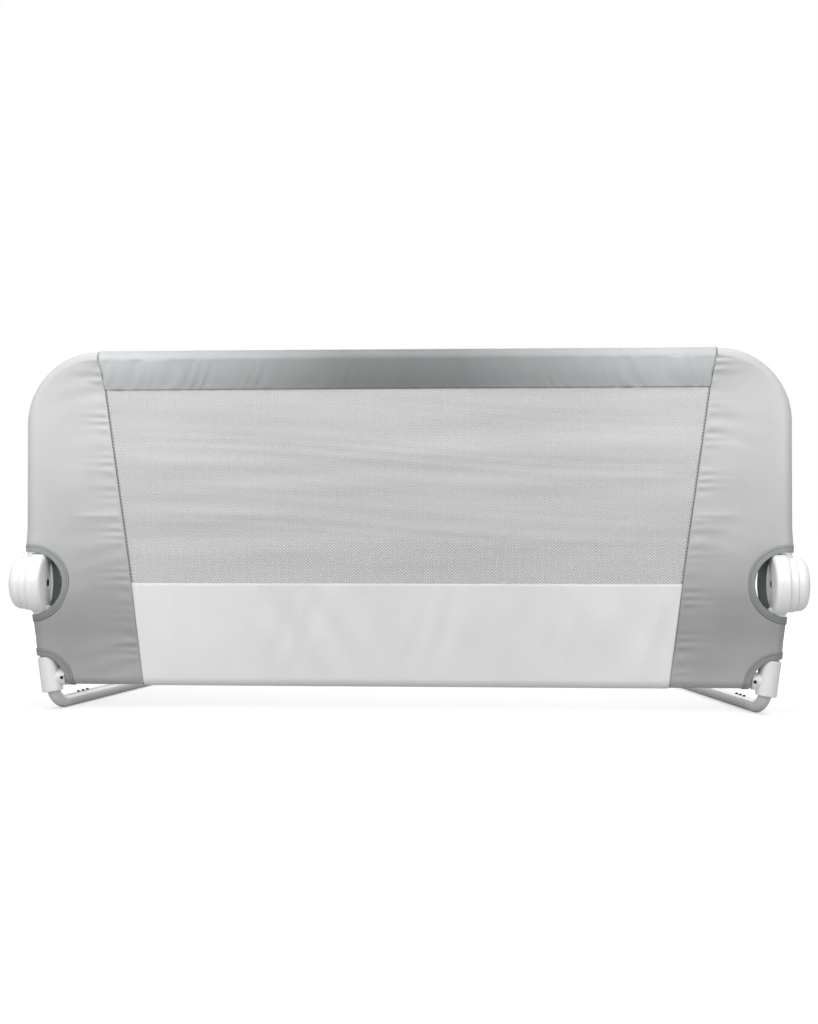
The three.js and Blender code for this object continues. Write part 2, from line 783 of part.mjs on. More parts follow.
function prism(outline) {
  const points = outline.map(([x, z]) => new THREE.Vector2(x, z));
  return solidOf(plate(points, 4 * sleeveRadius));
}

// Region between the two slanted seams, or outside the right one
const seamHalfGap = seamGap / 2;
const beyondPosts = 2 * postHalfSpacing;
function centreRegion(low, high, gap) {
  return prism([
    [-seamHalfWidth(low) + gap, low],
    [seamHalfWidth(low) - gap, low],
    [seamHalfWidth(high) - gap, high],
    [-seamHalfWidth(high) + gap, high],
  ]);
}

function sideRegion(low, high) {
  return prism([
    [seamHalfWidth(low) + seamHalfGap, low],
    [beyondPosts, low],
    [beyondPosts, high],
    [seamHalfWidth(high) + seamHalfGap, high],
  ]);
}

function upperCover() {
  const low = hubHeight + foldGap;
  const path = new BentPath(upperFramePath(low), cornerBendRadius, bendSteps);
  const outline = path.places.map((place) => new THREE.Vector2(place.x, place.z));
  const sheet = solidOf(plate(outline, sheetThickness));
  const sleeve = solidOf(bentBar(upperFramePath(low), cornerBendRadius, sleeveRadius));
  const bore = bentBar(upperFramePath(low - cutOverrun), cornerBendRadius, frameTubeRadius + fitGap);
  return without(joined([sheet, sleeve]), [solidOf(bore), ...hubCuts]);
}

function lowerCover() {
  const high = hubHeight - foldGap;
  const corners = [
    [-legCentre(crossTubeHeight), crossTubeHeight],
    [legCentre(crossTubeHeight), crossTubeHeight],
    [legCentre(high), high],
    [-legCentre(high), high],
  ];
  const outline = corners.map(([x, z]) => new THREE.Vector2(x, z));
  const sheet = solidOf(plate(outline, sheetThickness));
  const sleeve = solidOf(straightBar(onLeg(high), onLeg(crossTubeHeight), sleeveRadius));
  const bore = straightBar(onLeg(high + cutOverrun), onLeg(0), frameTubeRadius + fitGap);
  const hem = solidOf(crossBar(cornerCutHalfSpacing, hemRadius));
  const hemBore = solidOf(crossBar(postHalfSpacing, crossTubeRadius + fitGap));
  const cutters = [...bothSides(solidOf(bore)), hemBore, ...hubCuts, ...cornerCuts];
  return without(joined([sheet, hem, ...bothSides(sleeve)]), cutters);
}

const cover = upperCover();
const skirt = lowerCover();
const above = railHeight + cutOverrun;
const below = hemBottom - cutOverrun;
const bandCut = centreRegion(bandBottom + seamHalfGap, above, seamHalfGap);
addPiece('top_band_cover', geometryOf(cover.intersect(bandCut)), finishes.darkCloth());
const upperSide = cover.intersect(sideRegion(hubHeight, above));
addPair('side_panel_upper', geometryOf(upperSide), finishes.greyCloth);
const lowerSide = skirt.intersect(sideRegion(below, hubHeight));
addPair('side_panel_lower', geometryOf(lowerSide), finishes.greyCloth);
const lowerBand = skirt.intersect(centreRegion(below, hubHeight, seamHalfGap));
addPiece('lower_band_cover', geometryOf(lowerBand), finishes.paleCloth());

function netPanel() {
  const low = hubHeight + foldGap;
  const high = bandBottom - seamHalfGap;
  const corners = [
    [-seamHalfWidth(low) + seamHalfGap, low],
    [seamHalfWidth(low) - seamHalfGap, low],
    [seamHalfWidth(high) - seamHalfGap, high],
    [-seamHalfWidth(high) + seamHalfGap, high],
  ];
  return plate(corners.map(([x, z]) => new THREE.Vector2(x, z)), netThickness);
}

addPiece('net_panel', netPanel(), finishes.net());

export default rail;
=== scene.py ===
import json
import math
from collections import namedtuple

import bpy
import numpy as np
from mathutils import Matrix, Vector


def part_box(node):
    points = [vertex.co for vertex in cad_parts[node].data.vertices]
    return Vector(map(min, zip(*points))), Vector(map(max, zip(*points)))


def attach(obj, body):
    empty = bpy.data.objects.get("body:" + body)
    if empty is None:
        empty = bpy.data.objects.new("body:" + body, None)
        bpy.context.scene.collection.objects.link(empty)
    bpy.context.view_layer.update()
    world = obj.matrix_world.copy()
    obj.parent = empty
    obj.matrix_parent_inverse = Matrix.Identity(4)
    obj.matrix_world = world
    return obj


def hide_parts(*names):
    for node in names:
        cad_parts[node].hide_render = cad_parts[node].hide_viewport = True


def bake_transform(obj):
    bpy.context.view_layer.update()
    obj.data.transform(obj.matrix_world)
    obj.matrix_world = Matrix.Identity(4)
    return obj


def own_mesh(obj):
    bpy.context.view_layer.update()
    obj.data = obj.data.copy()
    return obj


# Folding bed guard rail: the cloth covers, net, bindings and seams are built here as
# numpy surfaces, with finer shells for the plastic hubs, sockets, arms and feet.
# Metres, +Z up. The outer side of the rail faces -Y. Right-hand pieces are built
# first, and the left-hand ones are their mirror images.

bl_info = {
    "name": "Folding bed guard rail",
    "version": (1, 0, 0),
    "blender": (4, 5, 0),
    "location": "3D View > Sidebar > Bed Rail",
    "description": "Builds the covers, net, hubs, arms and stage of a folding bed guard rail",
    "category": "Add Mesh",
}

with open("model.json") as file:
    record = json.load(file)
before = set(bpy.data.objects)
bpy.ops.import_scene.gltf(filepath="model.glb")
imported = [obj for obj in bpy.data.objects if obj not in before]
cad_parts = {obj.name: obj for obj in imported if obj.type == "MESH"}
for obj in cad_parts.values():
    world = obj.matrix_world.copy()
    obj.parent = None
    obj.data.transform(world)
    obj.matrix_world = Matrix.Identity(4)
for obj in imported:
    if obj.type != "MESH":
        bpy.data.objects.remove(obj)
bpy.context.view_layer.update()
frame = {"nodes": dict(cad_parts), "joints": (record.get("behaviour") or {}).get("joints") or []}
JOINTS = {joint["name"]: joint for joint in frame["joints"]}

MIRROR = np.array([-1.0, 1.0, 1.0])
TINY = 1e-9
WELD_REACH = 0.00002

# Places read from the frame
TUBE_LOW, TUBE_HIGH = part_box("guard_frame_tube")
TUBE_RADIUS = (TUBE_HIGH.y - TUBE_LOW.y) / 2
FRAME_Y = (TUBE_HIGH.y + TUBE_LOW.y) / 2
POST_X = TUBE_HIGH.x - TUBE_RADIUS
TOP_Z = TUBE_HIGH.z - TUBE_RADIUS
HUB_Z = JOINTS["guard_fold"]["pos_m"][2]
LEG_POINT = JOINTS["right_arm_swing"]["pos_m"]
LEG_AXIS = JOINTS["right_arm_swing"]["axis"]
LEG_SLOPE = LEG_AXIS[0] / LEG_AXIS[2]
LEG_LEAN = math.atan(LEG_SLOPE)
CROSS_Z = LEG_POINT[2]
SOCKET_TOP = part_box("corner_socket_right")[1].z
SOCKET_INNER_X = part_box("corner_socket_right")[0].x
BUTTON_OUTER_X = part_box("release_button_right")[1].x
NET_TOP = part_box("net_panel")[1].z

# Cover: its fits over the tubes, the slanted seams, and where its cross lines begin to fan out
CORNER_BEND = 0.076
CROSS_RADIUS = 0.0075
SLEEVE_GAP = 0.0013
SLEEVE_RADIUS = TUBE_RADIUS + SLEEVE_GAP
HEM_RADIUS = CROSS_RADIUS + SLEEVE_GAP
HEM_BOTTOM = CROSS_Z - HEM_RADIUS
RAIL_TOP = TOP_Z + SLEEVE_RADIUS
SEAM_TOP_X, SEAM_BOTTOM_X = 0.368, 0.311
SEAM_HALF = 0.0007
LEG_TURN_HALF = 0.013
FAN_START, FAN_SEAM_TURN = 0.250, 0.325
SIDE_WIDTH = 0.12
HEM_STEPS, WRAP_STEPS = 8, 22
TOP_BAND_STEPS, LOWER_BAND_STEPS = 22, 34

# Its sleeve widens at the ends of the openings
CORNER_FLARE, CORNER_FLARE_TOP, CORNER_FLARE_FADE = 0.0007, 0.092, 0.026
HUB_FLARE, HUB_FLARE_Z, HUB_FLARE_REACH = 0.0013, 0.199, 0.012

# Its openings, as (x, z) centres beside the post and above the corner. A grid point closer to
# the circle than HOLE_SNAP_SHARE of a cell moves onto it
HUB_HOLE = np.array([0.4492, HUB_Z])
CORNER_HOLE_DROP = 0.008
CORNER_HOLE = np.array([0.4385, CROSS_Z - CORNER_HOLE_DROP])
HOLE_SNAP_SHARE = 0.72

# Waves of the cloth. Drift is where a wave starts. It grows over its rise and dies over its fade
Wave = namedtuple("Wave", "height length drift rise fade", defaults=(None, None))
SIDE_PUCKER = Wave(height=0.0021, length=0.0125, drift=0.0, rise=0.0022, fade=0.012)
SIDE_DRAG = Wave(height=0.0014, length=0.031, drift=1.3, rise=0.008, fade=0.034)
BAND_GATHER = Wave(height=0.0026, length=0.0165, drift=0.7, rise=0.0022, fade=0.020)
BAND_FOLD = Wave(height=0.0019, length=0.043, drift=2.2, rise=0.02, fade=0.03)
LOWER_SLACK = Wave(height=0.0010, length=0.075, drift=1.1)
LOWER_STREAK = Wave(height=0.0007, length=0.041, drift=0.3)
LOWER_PUCKER = Wave(height=0.0005, length=0.014, drift=2.0, rise=0.003, fade=0.009)
NET_RIPPLE = Wave(height=0.0005, length=0.0143, drift=0.9)
NET_SWELL = Wave(height=0.0009, length=0.043, drift=2.4)

# How uneven every wave is: turn and length of its wander, share and length of its swell
WANDER_TURN, WANDER_WAVES = 1.7, 3.7
SWELL_SHARE, SWELL_WAVES, SWELL_DRIFT = 0.38, 5.3, 2.1

# Sides: phases of their waves, the pressed crease beside each seam, and a slow unevenness
SIDE_PHASES = {"right": 0.4, "left": 2.9}
BACK_PHASE = 2.0
DRAG_LEAN = 0.25
PUCKER_WINDOW = 3
CREASE_Z, CREASE_HEIGHT = 0.2347, 0.0021
CREASE_UPPER_FADE, CREASE_LOWER_FADE = 0.0016, 0.010
CREASE_FROM_SEAM, CREASE_REACH = 0.014, 0.036
SLOW_HEIGHT, SLOW_WAVE_X, SLOW_WAVE_Z, SLOW_DRIFT = 0.0012, 0.093, 0.141, 1.9

# Bands: the top one's gathers are strongest near its ends, and the lower one's slack leans
GATHER_X, GATHER_REACH, GATHER_LEAST, GATHER_LEAN = 0.29, 0.10, 0.25, 0.4
LOWER_SLACK_LEAN, LOWER_STREAK_LEAN = 0.5, -0.3

# Net: its tuck between the layers of both bands, its coarser grid, and how its waves lie
NET_TUCK = 0.003
NET_CELLS = 1.5
NET_WINDOW, NET_EDGE_POWER = 5, 8
NET_SAG, NET_SAG_TURNS, NET_LEAN, NET_SWELL_LEAN = 0.004, 9, 0.06, -0.1

# Stitches: a ring of points at both ends of a lozenge, and the size and spacing of each row.
# Shares are of the stitch length
STITCH_SIDES, STITCH_NECK_SHARE = 6, 0.3
BINDING_STITCH, BINDING_PITCH_SHARE = 0.0004, 1.35
BAND_STITCH, BAND_STITCH_LIFT, BAND_PITCH_SHARE = 0.00028, 0.0001, 1.4
BAND_STITCH_SETBACK, BAND_STITCH_END = 0.0032, 0.004
SEAM_STITCH, SEAM_STITCH_SETBACK = 0.00038, 0.0009
SEAM_STITCH_SHARE, SEAM_PITCH_SHARE = 0.6, 1.45
PIPING_SIDES, PIPING_STEP = 10, 0.003
SEAM_HEM_STEPS, SEAM_TOP_STEPS = 7, 15

# Bindings. A stitch line is a share of the tape's width from the opening. Heights are shares of
# the tape's thickness, and its bells are (place, height, reach) across it
STITCH_LINES = (0.65, 0.95)
BINDING_COLUMNS, BINDING_STEPS = 20, 96
BINDING_OVERHANG, BINDING_THICKNESS = 0.0006, 0.0009
TAPE_BASE, TAPE_HUMP, TAPE_EDGE, TAPE_SINK = 0.8, 0.3, 0.35, 0.4
TAPE_BELLS = ((0.8, 0.35, 0.12), *((line, -0.6, 0.04) for line in STITCH_LINES))
EDGE_ROUNDS = 12

# Elastic strap behind a hub opening: its tape, its place, its bow and its ribs
STRAP_WIDTH, STRAP_THICKNESS, STRAP_TUCK = 0.0105, 0.0009, 0.003
STRAP_SETBACK, STRAP_BOW, STRAP_DEPTH = 0.0050, 0.0085, 0.0092
STRAP_RIB, STRAP_RIB_PITCH = 0.00022, 0.0022
STRAP_LENGTH_STEPS, STRAP_WIDTH_STEPS = 60, 8

# Hubs. Distances along the axis run outwards from the inner face, at HUB_INNER_X
HUB_INNER_X = 0.4308
HUB_RADIUS, HUB_RIM_RADIUS = 0.0366, 0.0328
HUB_LOWER_END, HUB_UPPER_START, HUB_UPPER_END = 0.0158, 0.0161, 0.0258
HUB_WELL_RADIUS, HUB_WELL_FLOOR, HUB_BOSS_RADIUS = 0.0318, 0.0186, 0.0215
HUB_BORE, HUB_POCKET_RADIUS, HUB_POCKET_FLOOR = 0.0033, 0.0196, 0.0046
HUB_WEB_START, HUB_WEB_END = 0.0056, 0.0082
HUB_FACE_FLAT, HUB_FACE_ROUND = 0.013, 0.0062
HUB_RIM_EDGE, HUB_RIM_ROUND = 0.004, 0.0011
SCREW_RECESS, SCREW_SEAT = 0.0051, 0.0029
OUTER_LOW_ROUND, OUTER_HIGH_ROUND = 0.0004, 0.0008
HUB_SIDES, HUB_VOXEL = 160, 0.0006
SHELL_SMOOTHING = 4

# Necks of the hubs
HUB_NECK_RADIUS, HUB_NECK_REACH, NECK_START_SHARE = 0.0114, 0.0415, 0.8
NECK_SIDES, NECK_EDGE, NECK_EDGE_STEPS, NECK_STEP = 96, 0.0012, 5, 0.0006
NECK_FLAT_REACH, NECK_FLAT_FADE = 0.0014, 0.0009
WELL_CLEARANCE = 0.0003

# Push buttons
BUTTON_RADIUS, BUTTON_START = 0.0315, 0.0224
BUTTON_WALL, BUTTON_CROWN, BUTTON_EDGE, BUTTON_LIP = 0.0026, 0.0034, 0.0092, 0.0005
BUTTON_SIDES, BUTTON_EDGE_STEPS, BUTTON_DOME_STEPS = 128, 12, 10

# Corner sockets, and their stubs for the cross tube
SOCKET_RADIUS, SOCKET_BOTTOM, SOCKET_TOP_GAP = 0.0125, 0.0225, 0.0018
SOCKET_BORE, SOCKET_MOUTH, SOCKET_MOUTH_TOP = 0.0078, 0.0106, 0.011
SOCKET_FLAT_SHARE, SOCKET_ROUND = 0.8, 0.0014
STUB_RIM_RADIUS, STUB_RIM_LENGTH = 0.0102, 0.005
STUB_ROOT_RADIUS, STUB_REACH, STUB_CORE = 0.008, 0.020, 0.0004
STUB_DISH, STUB_DISH_EDGE, STUB_RIM_EDGE, STUB_ROUND = 0.0012, 0.0026, 0.002, 0.0008
SOCKET_SIDES, STUB_SIDES, SOCKET_VOXEL = 96, 80, 0.0005

# Arms, which reach back along ARM_AWAY
ARM_RADIUS, ARM_BEND, ARM_LENGTH, ARM_TOP = 0.0075, 0.026, 0.400, 0.041
ARM_TOE_IN = math.radians(12)
ARM_AWAY = np.array([-math.sin(ARM_TOE_IN), math.cos(ARM_TOE_IN), 0.0])
ARM_SIDES, ARM_STEP, ARM_BEND_STEPS, ARM_LEAD_STEPS = 40, 0.012, 22, 4

# Feet of the arms. The powers square off a round section at its sides, top and base
FOOT_WIDTH, FOOT_LENGTH, FOOT_RISE, FOOT_WALL = 0.022, 0.044, 0.0025, 0.006
FOOT_ROUND, FOOT_ROUND_STEPS, FOOT_SIDES = 0.0045, 8, 56
FOOT_SIDE_POWER, FOOT_TOP_POWER, FOOT_BASE_POWER = 0.8, 0.95, 0.35

# Weaves, and the net's yarns. The net's rows are closer than its columns, and each wide mesh
# holds three by three fine ones
CLOTH_PITCH, BINDING_PITCH, STRAP_PITCH = 0.0007, 0.0005, 0.0009
NET_ROW_SHARE, NET_FINE_COUNT = 0.87, 3
NET_YARN_LOW, NET_YARN_HIGH, NET_OPENING_SHARE = 0.38, 0.42, 0.6

# Painted light on the cloths: ramps of (place, share) stops along an axis, with place a part of
# SHADE_REACH, which paint shade and highlight into the colour. The sides darken below the hubs in
# painted shade, and lighten towards the top and at the sleeves' outer edges in painted highlight.
# The top band darkens towards its middle and away from the tube, a painted reflection with a
# painted highlight along the tube. The net darkens lower down in painted shade, and the net and
# pale band a little in the middle, the pale band's lighter ends being painted light too
SHADE_REACH = 0.5
SIDE_PAINTED_SHADE = (
    ("Z", ((0.05, 0.80), (0.13, 0.69), (0.20, 0.61), (0.24, 0.64), (0.272, 0.68), (0.312, 0.80),
           (0.38, 0.97), (0.45, 1.05), (0.59, 1.16), (0.80, 1.28))),
    ("X", ((0.74, 0.97), (0.86, 1.0), (0.92, 1.08))),
)
# Painted reflection and highlight of the top band: darker in its middle, lighter at its ends and
# along the tube
BAND_PAINTED_REFLECTION = (
    ("X", ((0.0, 0.57), (0.14, 0.60), (0.36, 0.96), (0.60, 1.34), (0.72, 1.46))),
    ("Z", ((0.79, 1.0), (0.82, 1.16), (0.835, 1.22), (0.86, 0.96))),
)
# Painted light on the pale band: a little darker in its middle, lighter towards its ends
PALE_PAINTED_LIGHT = (("X", ((0.0, 0.96), (0.3, 0.98), (0.56, 1.06))),)
# Painted shade on the net: darker lower down and a little in the middle
NET_PAINTED_SHADE = (
    ("Z", ((0.28, 0.73), (0.42, 0.78), (0.76, 0.98))),
    ("X", ((0.0, 0.93), (0.3, 0.95), (0.6, 1.04))),
)

# Other finishes: where a cloudy colour is darkest and lightest, and colours out of easy sight
CLOUD_STOPS = (0.3, 0.7)
BRIGHT_STEEL = (0.55, 0.55, 0.56)
GEAR_GREY = (0.09, 0.095, 0.1)
RUBBER_BLACK = (0.06, 0.06, 0.065)
FLOOR_GREY = (0.5, 0.5, 0.5)

# Finishes of the frame's own pieces, by how their names start
FITTING_FINISHES = {
    "guard_frame_tube": "tube_paint", "leg_tube": "tube_paint", "cross_tube": "tube_paint",
    "socket_screw": "dark_plating", "pivot_bolt": "dark_plating", "arm_rivet": "dark_plating",
    "pivot_nut": "bright_steel", "lock_spring": "bright_steel", "lock_gear": "gear_plastic",
}

# Stage: lamps as name, place, point aimed at, and power, with both places from the rail's foot
FLOOR_REACH = 30.0
LAMP_SIZE = 1.0
LAMPS = (
    ("left", (-0.8, -1.3, 1.05), (-0.3, 0.0, 0.25), 12.0),
    ("right", (0.85, -1.3, 0.95), (0.3, 0.0, 0.25), 7.5),
    ("top", (0.0, -0.35, 1.45), (0.0, 0.0, 0.2), 10.0),
    ("back", (0.3, 1.6, 1.1), (0.0, 0.0, 0.2), 14.0),
)

# Camera: its angles, its place aside of the rail's middle, and its focal length as a share of
# the picture's height
CAMERA_YAW, CAMERA_PITCH = math.radians(3.2), math.radians(0.75)
CAMERA_ASIDE = 0.0062
CAMERA_SENSOR = 36.0
CAMERA_FOCAL_SHARE = 1298.0 / 1024.0


class RailSizes(bpy.types.PropertyGroup):
    """Sizes of the cloth and its trim"""

    cloth: bpy.props.FloatProperty(
        name="Cloth", description="Thickness of the cover cloth",
        default=0.0009, min=0.0002, unit="LENGTH", precision=4)
    cell: bpy.props.FloatProperty(
        name="Cell", description="Spacing of the grids that the covers are worked out on",
        default=0.002, min=0.001, unit="LENGTH", precision=4)
    hub_hole: bpy.props.FloatProperty(
        name="Hub opening", description="Radius of the cover's opening round a hub",
        default=0.0385, min=0.03, unit="LENGTH", precision=4)
    corner_hole: bpy.props.FloatProperty(
        name="Corner opening", description="Radius of the cover's opening round a corner socket",
        default=0.0345, min=0.02, unit="LENGTH", precision=4)
    binding: bpy.props.FloatProperty(
        name="Binding", description="Width of the tape round each opening",
        default=0.0082, min=0.002, unit="LENGTH", precision=4)
    piping: bpy.props.FloatProperty(
        name="Piping", description="Radius of the cord along the slanted seams",
        default=0.00055, min=0.0002, unit="LENGTH", precision=5)
    stitch: bpy.props.FloatProperty(
        name="Stitch", description="Length of one stitch",
        default=0.0027, min=0.001, unit="LENGTH", precision=4)
    net_pitch: bpy.props.FloatProperty(
        name="Net pitch", description="Distance between neighbouring holes in one row of the net",
        default=0.0041, min=0.001, unit="LENGTH", precision=4)
    fold: bpy.props.FloatProperty(
        name="Fold zone", description="Half the height over which the cloth turns at the hinge",
        default=0.025, min=0.005, unit="LENGTH", precision=3)
    camera_distance: bpy.props.FloatProperty(
        name="Camera distance", description="Distance from the camera to the frame's plane",
        default=1.547, min=0.5, unit="LENGTH")
    camera_height: bpy.props.FloatProperty(
        name="Camera height", description="Height of the camera above the floor",
        default=0.218, min=0.0, unit="LENGTH")


def colour_property(name, description, default):
    """A colour that a user can change."""
    return bpy.props.FloatVectorProperty(
        name=name, description=description, subtype="COLOR", size=3, min=0, max=1,
        default=default)


class RailColours(bpy.types.PropertyGroup):
    """Colours of the finishes"""

    side_cloth: colour_property("Side cloth", "Grey cloth of the sides", (0.48, 0.482, 0.484))
    band_cloth: colour_property("Top band", "Cloth of the top band", (0.355, 0.364, 0.369))
    pale_cloth: colour_property("Lower band", "Pale cloth of the lower band", (0.66, 0.66, 0.66))
    net: colour_property("Net", "Yarn of the net", (0.53, 0.52, 0.518))
    binding: colour_property("Binding", "Tape round the openings", (0.34, 0.352, 0.357))
    thread: colour_property("Thread", "Sewing thread", (0.13, 0.138, 0.142))
    piping: colour_property("Piping", "Piping of the slanted seams", (0.2, 0.21, 0.215))
    strap: colour_property("Strap", "Elastic strap behind each hub", (0.15, 0.172, 0.172))
    plastic: colour_property("Plastic", "White plastic of the hubs", (0.86, 0.865, 0.865))
    socket: colour_property("Socket", "Plastic of the corner sockets", (0.78, 0.78, 0.765))
    tube: colour_property("Tube", "Painted tube", (0.62, 0.625, 0.63))
    steel: colour_property("Steel", "Dark screws and studs", (0.03, 0.03, 0.032))


# Mesh helpers


def grid_faces(rows, columns, close_rows=False, close_columns=False):
    """Quads between neighbouring points of a rows by columns grid, as index arrays."""
    i = np.arange(rows if close_rows else rows - 1)[:, None]
    j = np.arange(columns if close_columns else columns - 1)[None, :]
    i, j = np.broadcast_arrays(i, j)
    below, right = (i + 1) % rows, (j + 1) % columns
    corners = [i * columns + j, i * columns + right, below * columns + right, below * columns + j]
    return np.stack(corners, -1).reshape(-1, 4)


def triangles_of(quads):
    """Each quad as two triangles."""
    return np.concatenate([quads[:, [0, 1, 2]], quads[:, [0, 2, 3]]])


def piece(name, points, faces, uv=None):
    """A smooth-shaded mesh object from points, faces and, for cloth, metres along the cloth."""
    mesh = bpy.data.meshes.new(name)
    mesh.from_pydata(points.reshape(-1, 3).tolist(), [], [list(face) for face in faces])
    if uv is not None:
        corners = np.zeros(len(mesh.loops), dtype=np.int32)
        mesh.loops.foreach_get("vertex_index", corners)
        layer = mesh.uv_layers.new(name="cloth")
        layer.data.foreach_set("uv", uv.reshape(-1, 2)[corners].ravel())
    mesh.polygons.foreach_set("use_smooth", np.ones(len(mesh.polygons), dtype=bool))
    mesh.update()
    made = bpy.data.objects.new(name, mesh)
    bpy.context.scene.collection.objects.link(made)
    return made


def settled(made):
    """Gives a piece the mesh that its modifiers make, and takes the modifiers off."""
    bpy.context.view_layer.update()
    graph = bpy.context.evaluated_depsgraph_get()
    mesh = bpy.data.meshes.new_from_object(made.evaluated_get(graph))
    made.modifiers.clear()
    made.data = mesh
    mesh.polygons.foreach_set("use_smooth", np.ones(len(mesh.polygons), dtype=bool))
    return made


def thickened(made, thickness):
    """Gives a cloth surface its thickness, inwards from its outer side."""
    wall = made.modifiers.new("wall", "SOLIDIFY")
    wall.thickness = thickness
    wall.offset = -1.0
    return settled(made)


def welded(made):
    """Merges points that lie on each other."""
    weld = made.modifiers.new("weld", "WELD")
    weld.merge_threshold = WELD_REACH
    return settled(made)


def unit(vectors):
    """The vectors at length one."""
    return vectors / np.maximum(np.linalg.norm(vectors, axis=-1, keepdims=True), TINY)


def turned(profile, sides, closed=True):
    """A surface of revolution about X: each (radius, x) of a profile goes round by sides steps."""
    profile = np.asarray(profile, float)
    angle = np.linspace(0, 2 * np.pi, sides, endpoint=False)[:, None]
    radius, x = profile[None, :, 0], profile[None, :, 1]
    points = np.stack(np.broadcast_arrays(x, radius * np.cos(angle), radius * np.sin(angle)), -1)
    return points, grid_faces(sides, len(profile), close_rows=True, close_columns=closed)


def rounded_corner(before, corner, after, radius, steps):
    """A corner of a profile as a curve that slides from the side before it to the side after it.

    The curve is (1 - t)^2 start + 2 t (1 - t) corner + t^2 end, with start and end at most a
    radius, or half a side, away from the corner.
    """
    before, corner, after = (np.asarray(place, float) for place in (before, corner, after))
    shorter = min(np.linalg.norm(before - corner), np.linalg.norm(after - corner))
    reach = min(shorter / 2, radius)
    start = corner + unit(before - corner) * reach
    end = corner + unit(after - corner) * reach
    t = np.linspace(0, 1, steps)[:, None]
    return (1 - t) ** 2 * start + 2 * t * (1 - t) * corner + t ** 2 * end


def rings_round(path, radii, normal, side, sides):
    """A circle of points round each point of a path, in the plane of its normal and its side."""
    angle = np.linspace(0, 2 * np.pi, sides, endpoint=False)[None, :, None]
    radii = np.reshape(radii, (-1, 1, 1))
    return path[:, None] + radii * (np.cos(angle) * normal + np.sin(angle) * side)


def swept(path, radius, sides, first_normal):
    """Rings round an open path: each stands square to the path, and its normal is carried along."""
    tangent = unit(np.gradient(path, axis=0))
    normals = [unit(np.asarray(first_normal, float))]
    for direction in tangent:
        normals.append(unit(normals[-1] - direction * np.dot(normals[-1], direction)))
    normal = np.array(normals[1:])
    side = np.cross(tangent, normal)
    return rings_round(path, radius, normal[:, None], side[:, None], sides)


def capped(rings):
    """Points, quads and end triangles of a tube of rings, whose ends are fans to a middle point."""
    count, sides = rings.shape[:2]
    middles = np.stack([rings[0].mean(0), rings[-1].mean(0)])
    points = np.concatenate([rings.reshape(-1, 3), middles])
    here = np.arange(sides)
    ahead = (here + 1) % sides
    last = (count - 1) * sides
    low = np.stack([ahead, here, np.full(sides, count * sides)], -1)
    high = np.stack([last + here, last + ahead, np.full(sides, count * sides + 1)], -1)
    return points, grid_faces(count, sides, close_columns=True), np.concatenate([low, high])


def joined(shells):
    """One array of points and one of triangles from several (points, triangles) shells."""
    points = [np.reshape(shell_points, (-1, 3)) for shell_points, _ in shells]
    starts = np.cumsum([0] + [len(part) for part in points])
    triangles = [part + start for (_, part), start in zip(shells, starts)]
    return np.concatenate(points), np.concatenate(triangles)


def both_hands(name, points, faces, uv=None):
    """The right piece and its mirror image, named for their sides."""
    faces = [list(face) for face in faces]
    turned_faces = [face[::-1] for face in faces]
    right = piece(f"{name}_right", points, faces, uv)
    left = piece(f"{name}_left", points.reshape(-1, 3) * MIRROR, turned_faces, uv)
    return right, left


def side_of(made):
    """The hand that a piece's name ends with."""
    return made.name.rsplit("_", 1)[-1]


# Shape of the cover


def leg_x(z):
    """Distance of the leaning leg's middle line from the rail's middle, at height z."""
    return LEG_POINT[0] + (z - LEG_POINT[2]) * LEG_SLOPE


def on_leg(z):
    """A point on the leg's leaning middle line."""
    return np.array([leg_x(z), FRAME_Y, z])


def seam_x(z):
    """Half the width between the two slanted seams at height z, a straight line from hem to top."""
    share = (z - HEM_BOTTOM) / (RAIL_TOP - HEM_BOTTOM)
    return SEAM_BOTTOM_X + (SEAM_TOP_X - SEAM_BOTTOM_X) * share


def smooth_step(value):
    """0 below 0, 1 above 1, and 3v2 - 2v3 between."""
    value = np.clip(value, 0, 1)
    return value * value * (3 - 2 * value)


def hem_share(z):
    """Sine of the angle round the hem at height z below the cross tube's middle, and 1 above it."""
    drop = np.clip((CROSS_Z - z) / HEM_RADIUS, 0, 1)
    return np.sqrt(1 - drop ** 2)


def seam_half(z):
    """Half the cover's thickness at the seams: hem curve, taper to the net, and top sleeve."""
    heights = [CROSS_Z, HUB_Z, NET_TOP, TOP_Z]
    taper = np.interp(z, heights, [HEM_RADIUS, SEAM_HALF, SEAM_HALF, SLEEVE_RADIUS])
    return taper * hem_share(z)


def post_x(z):
    """Middle line of what the side sleeve goes round: the leg below the hub and the post above."""
    return np.where(z < HUB_Z, leg_x(z), POST_X)


def sleeve(z):
    """Radius of the side sleeve, a little wider at the ends of the hub and corner openings."""
    corner = CORNER_FLARE * smooth_step((CORNER_FLARE_TOP - z) / CORNER_FLARE_FADE)
    hub = HUB_FLARE * np.exp(-((z - HUB_FLARE_Z) / HUB_FLARE_REACH) ** 2)
    return (SLEEVE_RADIUS + (corner + hub)) * hem_share(z)


def half_depth(x, z):
    """Half the cover's thickness below the fan: straight from seam to tube, then round it."""
    seam, middle, radius, seam_depth = seam_x(z), post_x(z), sleeve(z), seam_half(z)
    share = np.clip((x - seam) / (middle - seam), 0, 1)
    inner = seam_depth + (radius - seam_depth) * share
    outer = np.sqrt(np.clip(radius ** 2 - (x - middle) ** 2, 0, None))
    return np.where(x < middle, inner, outer)


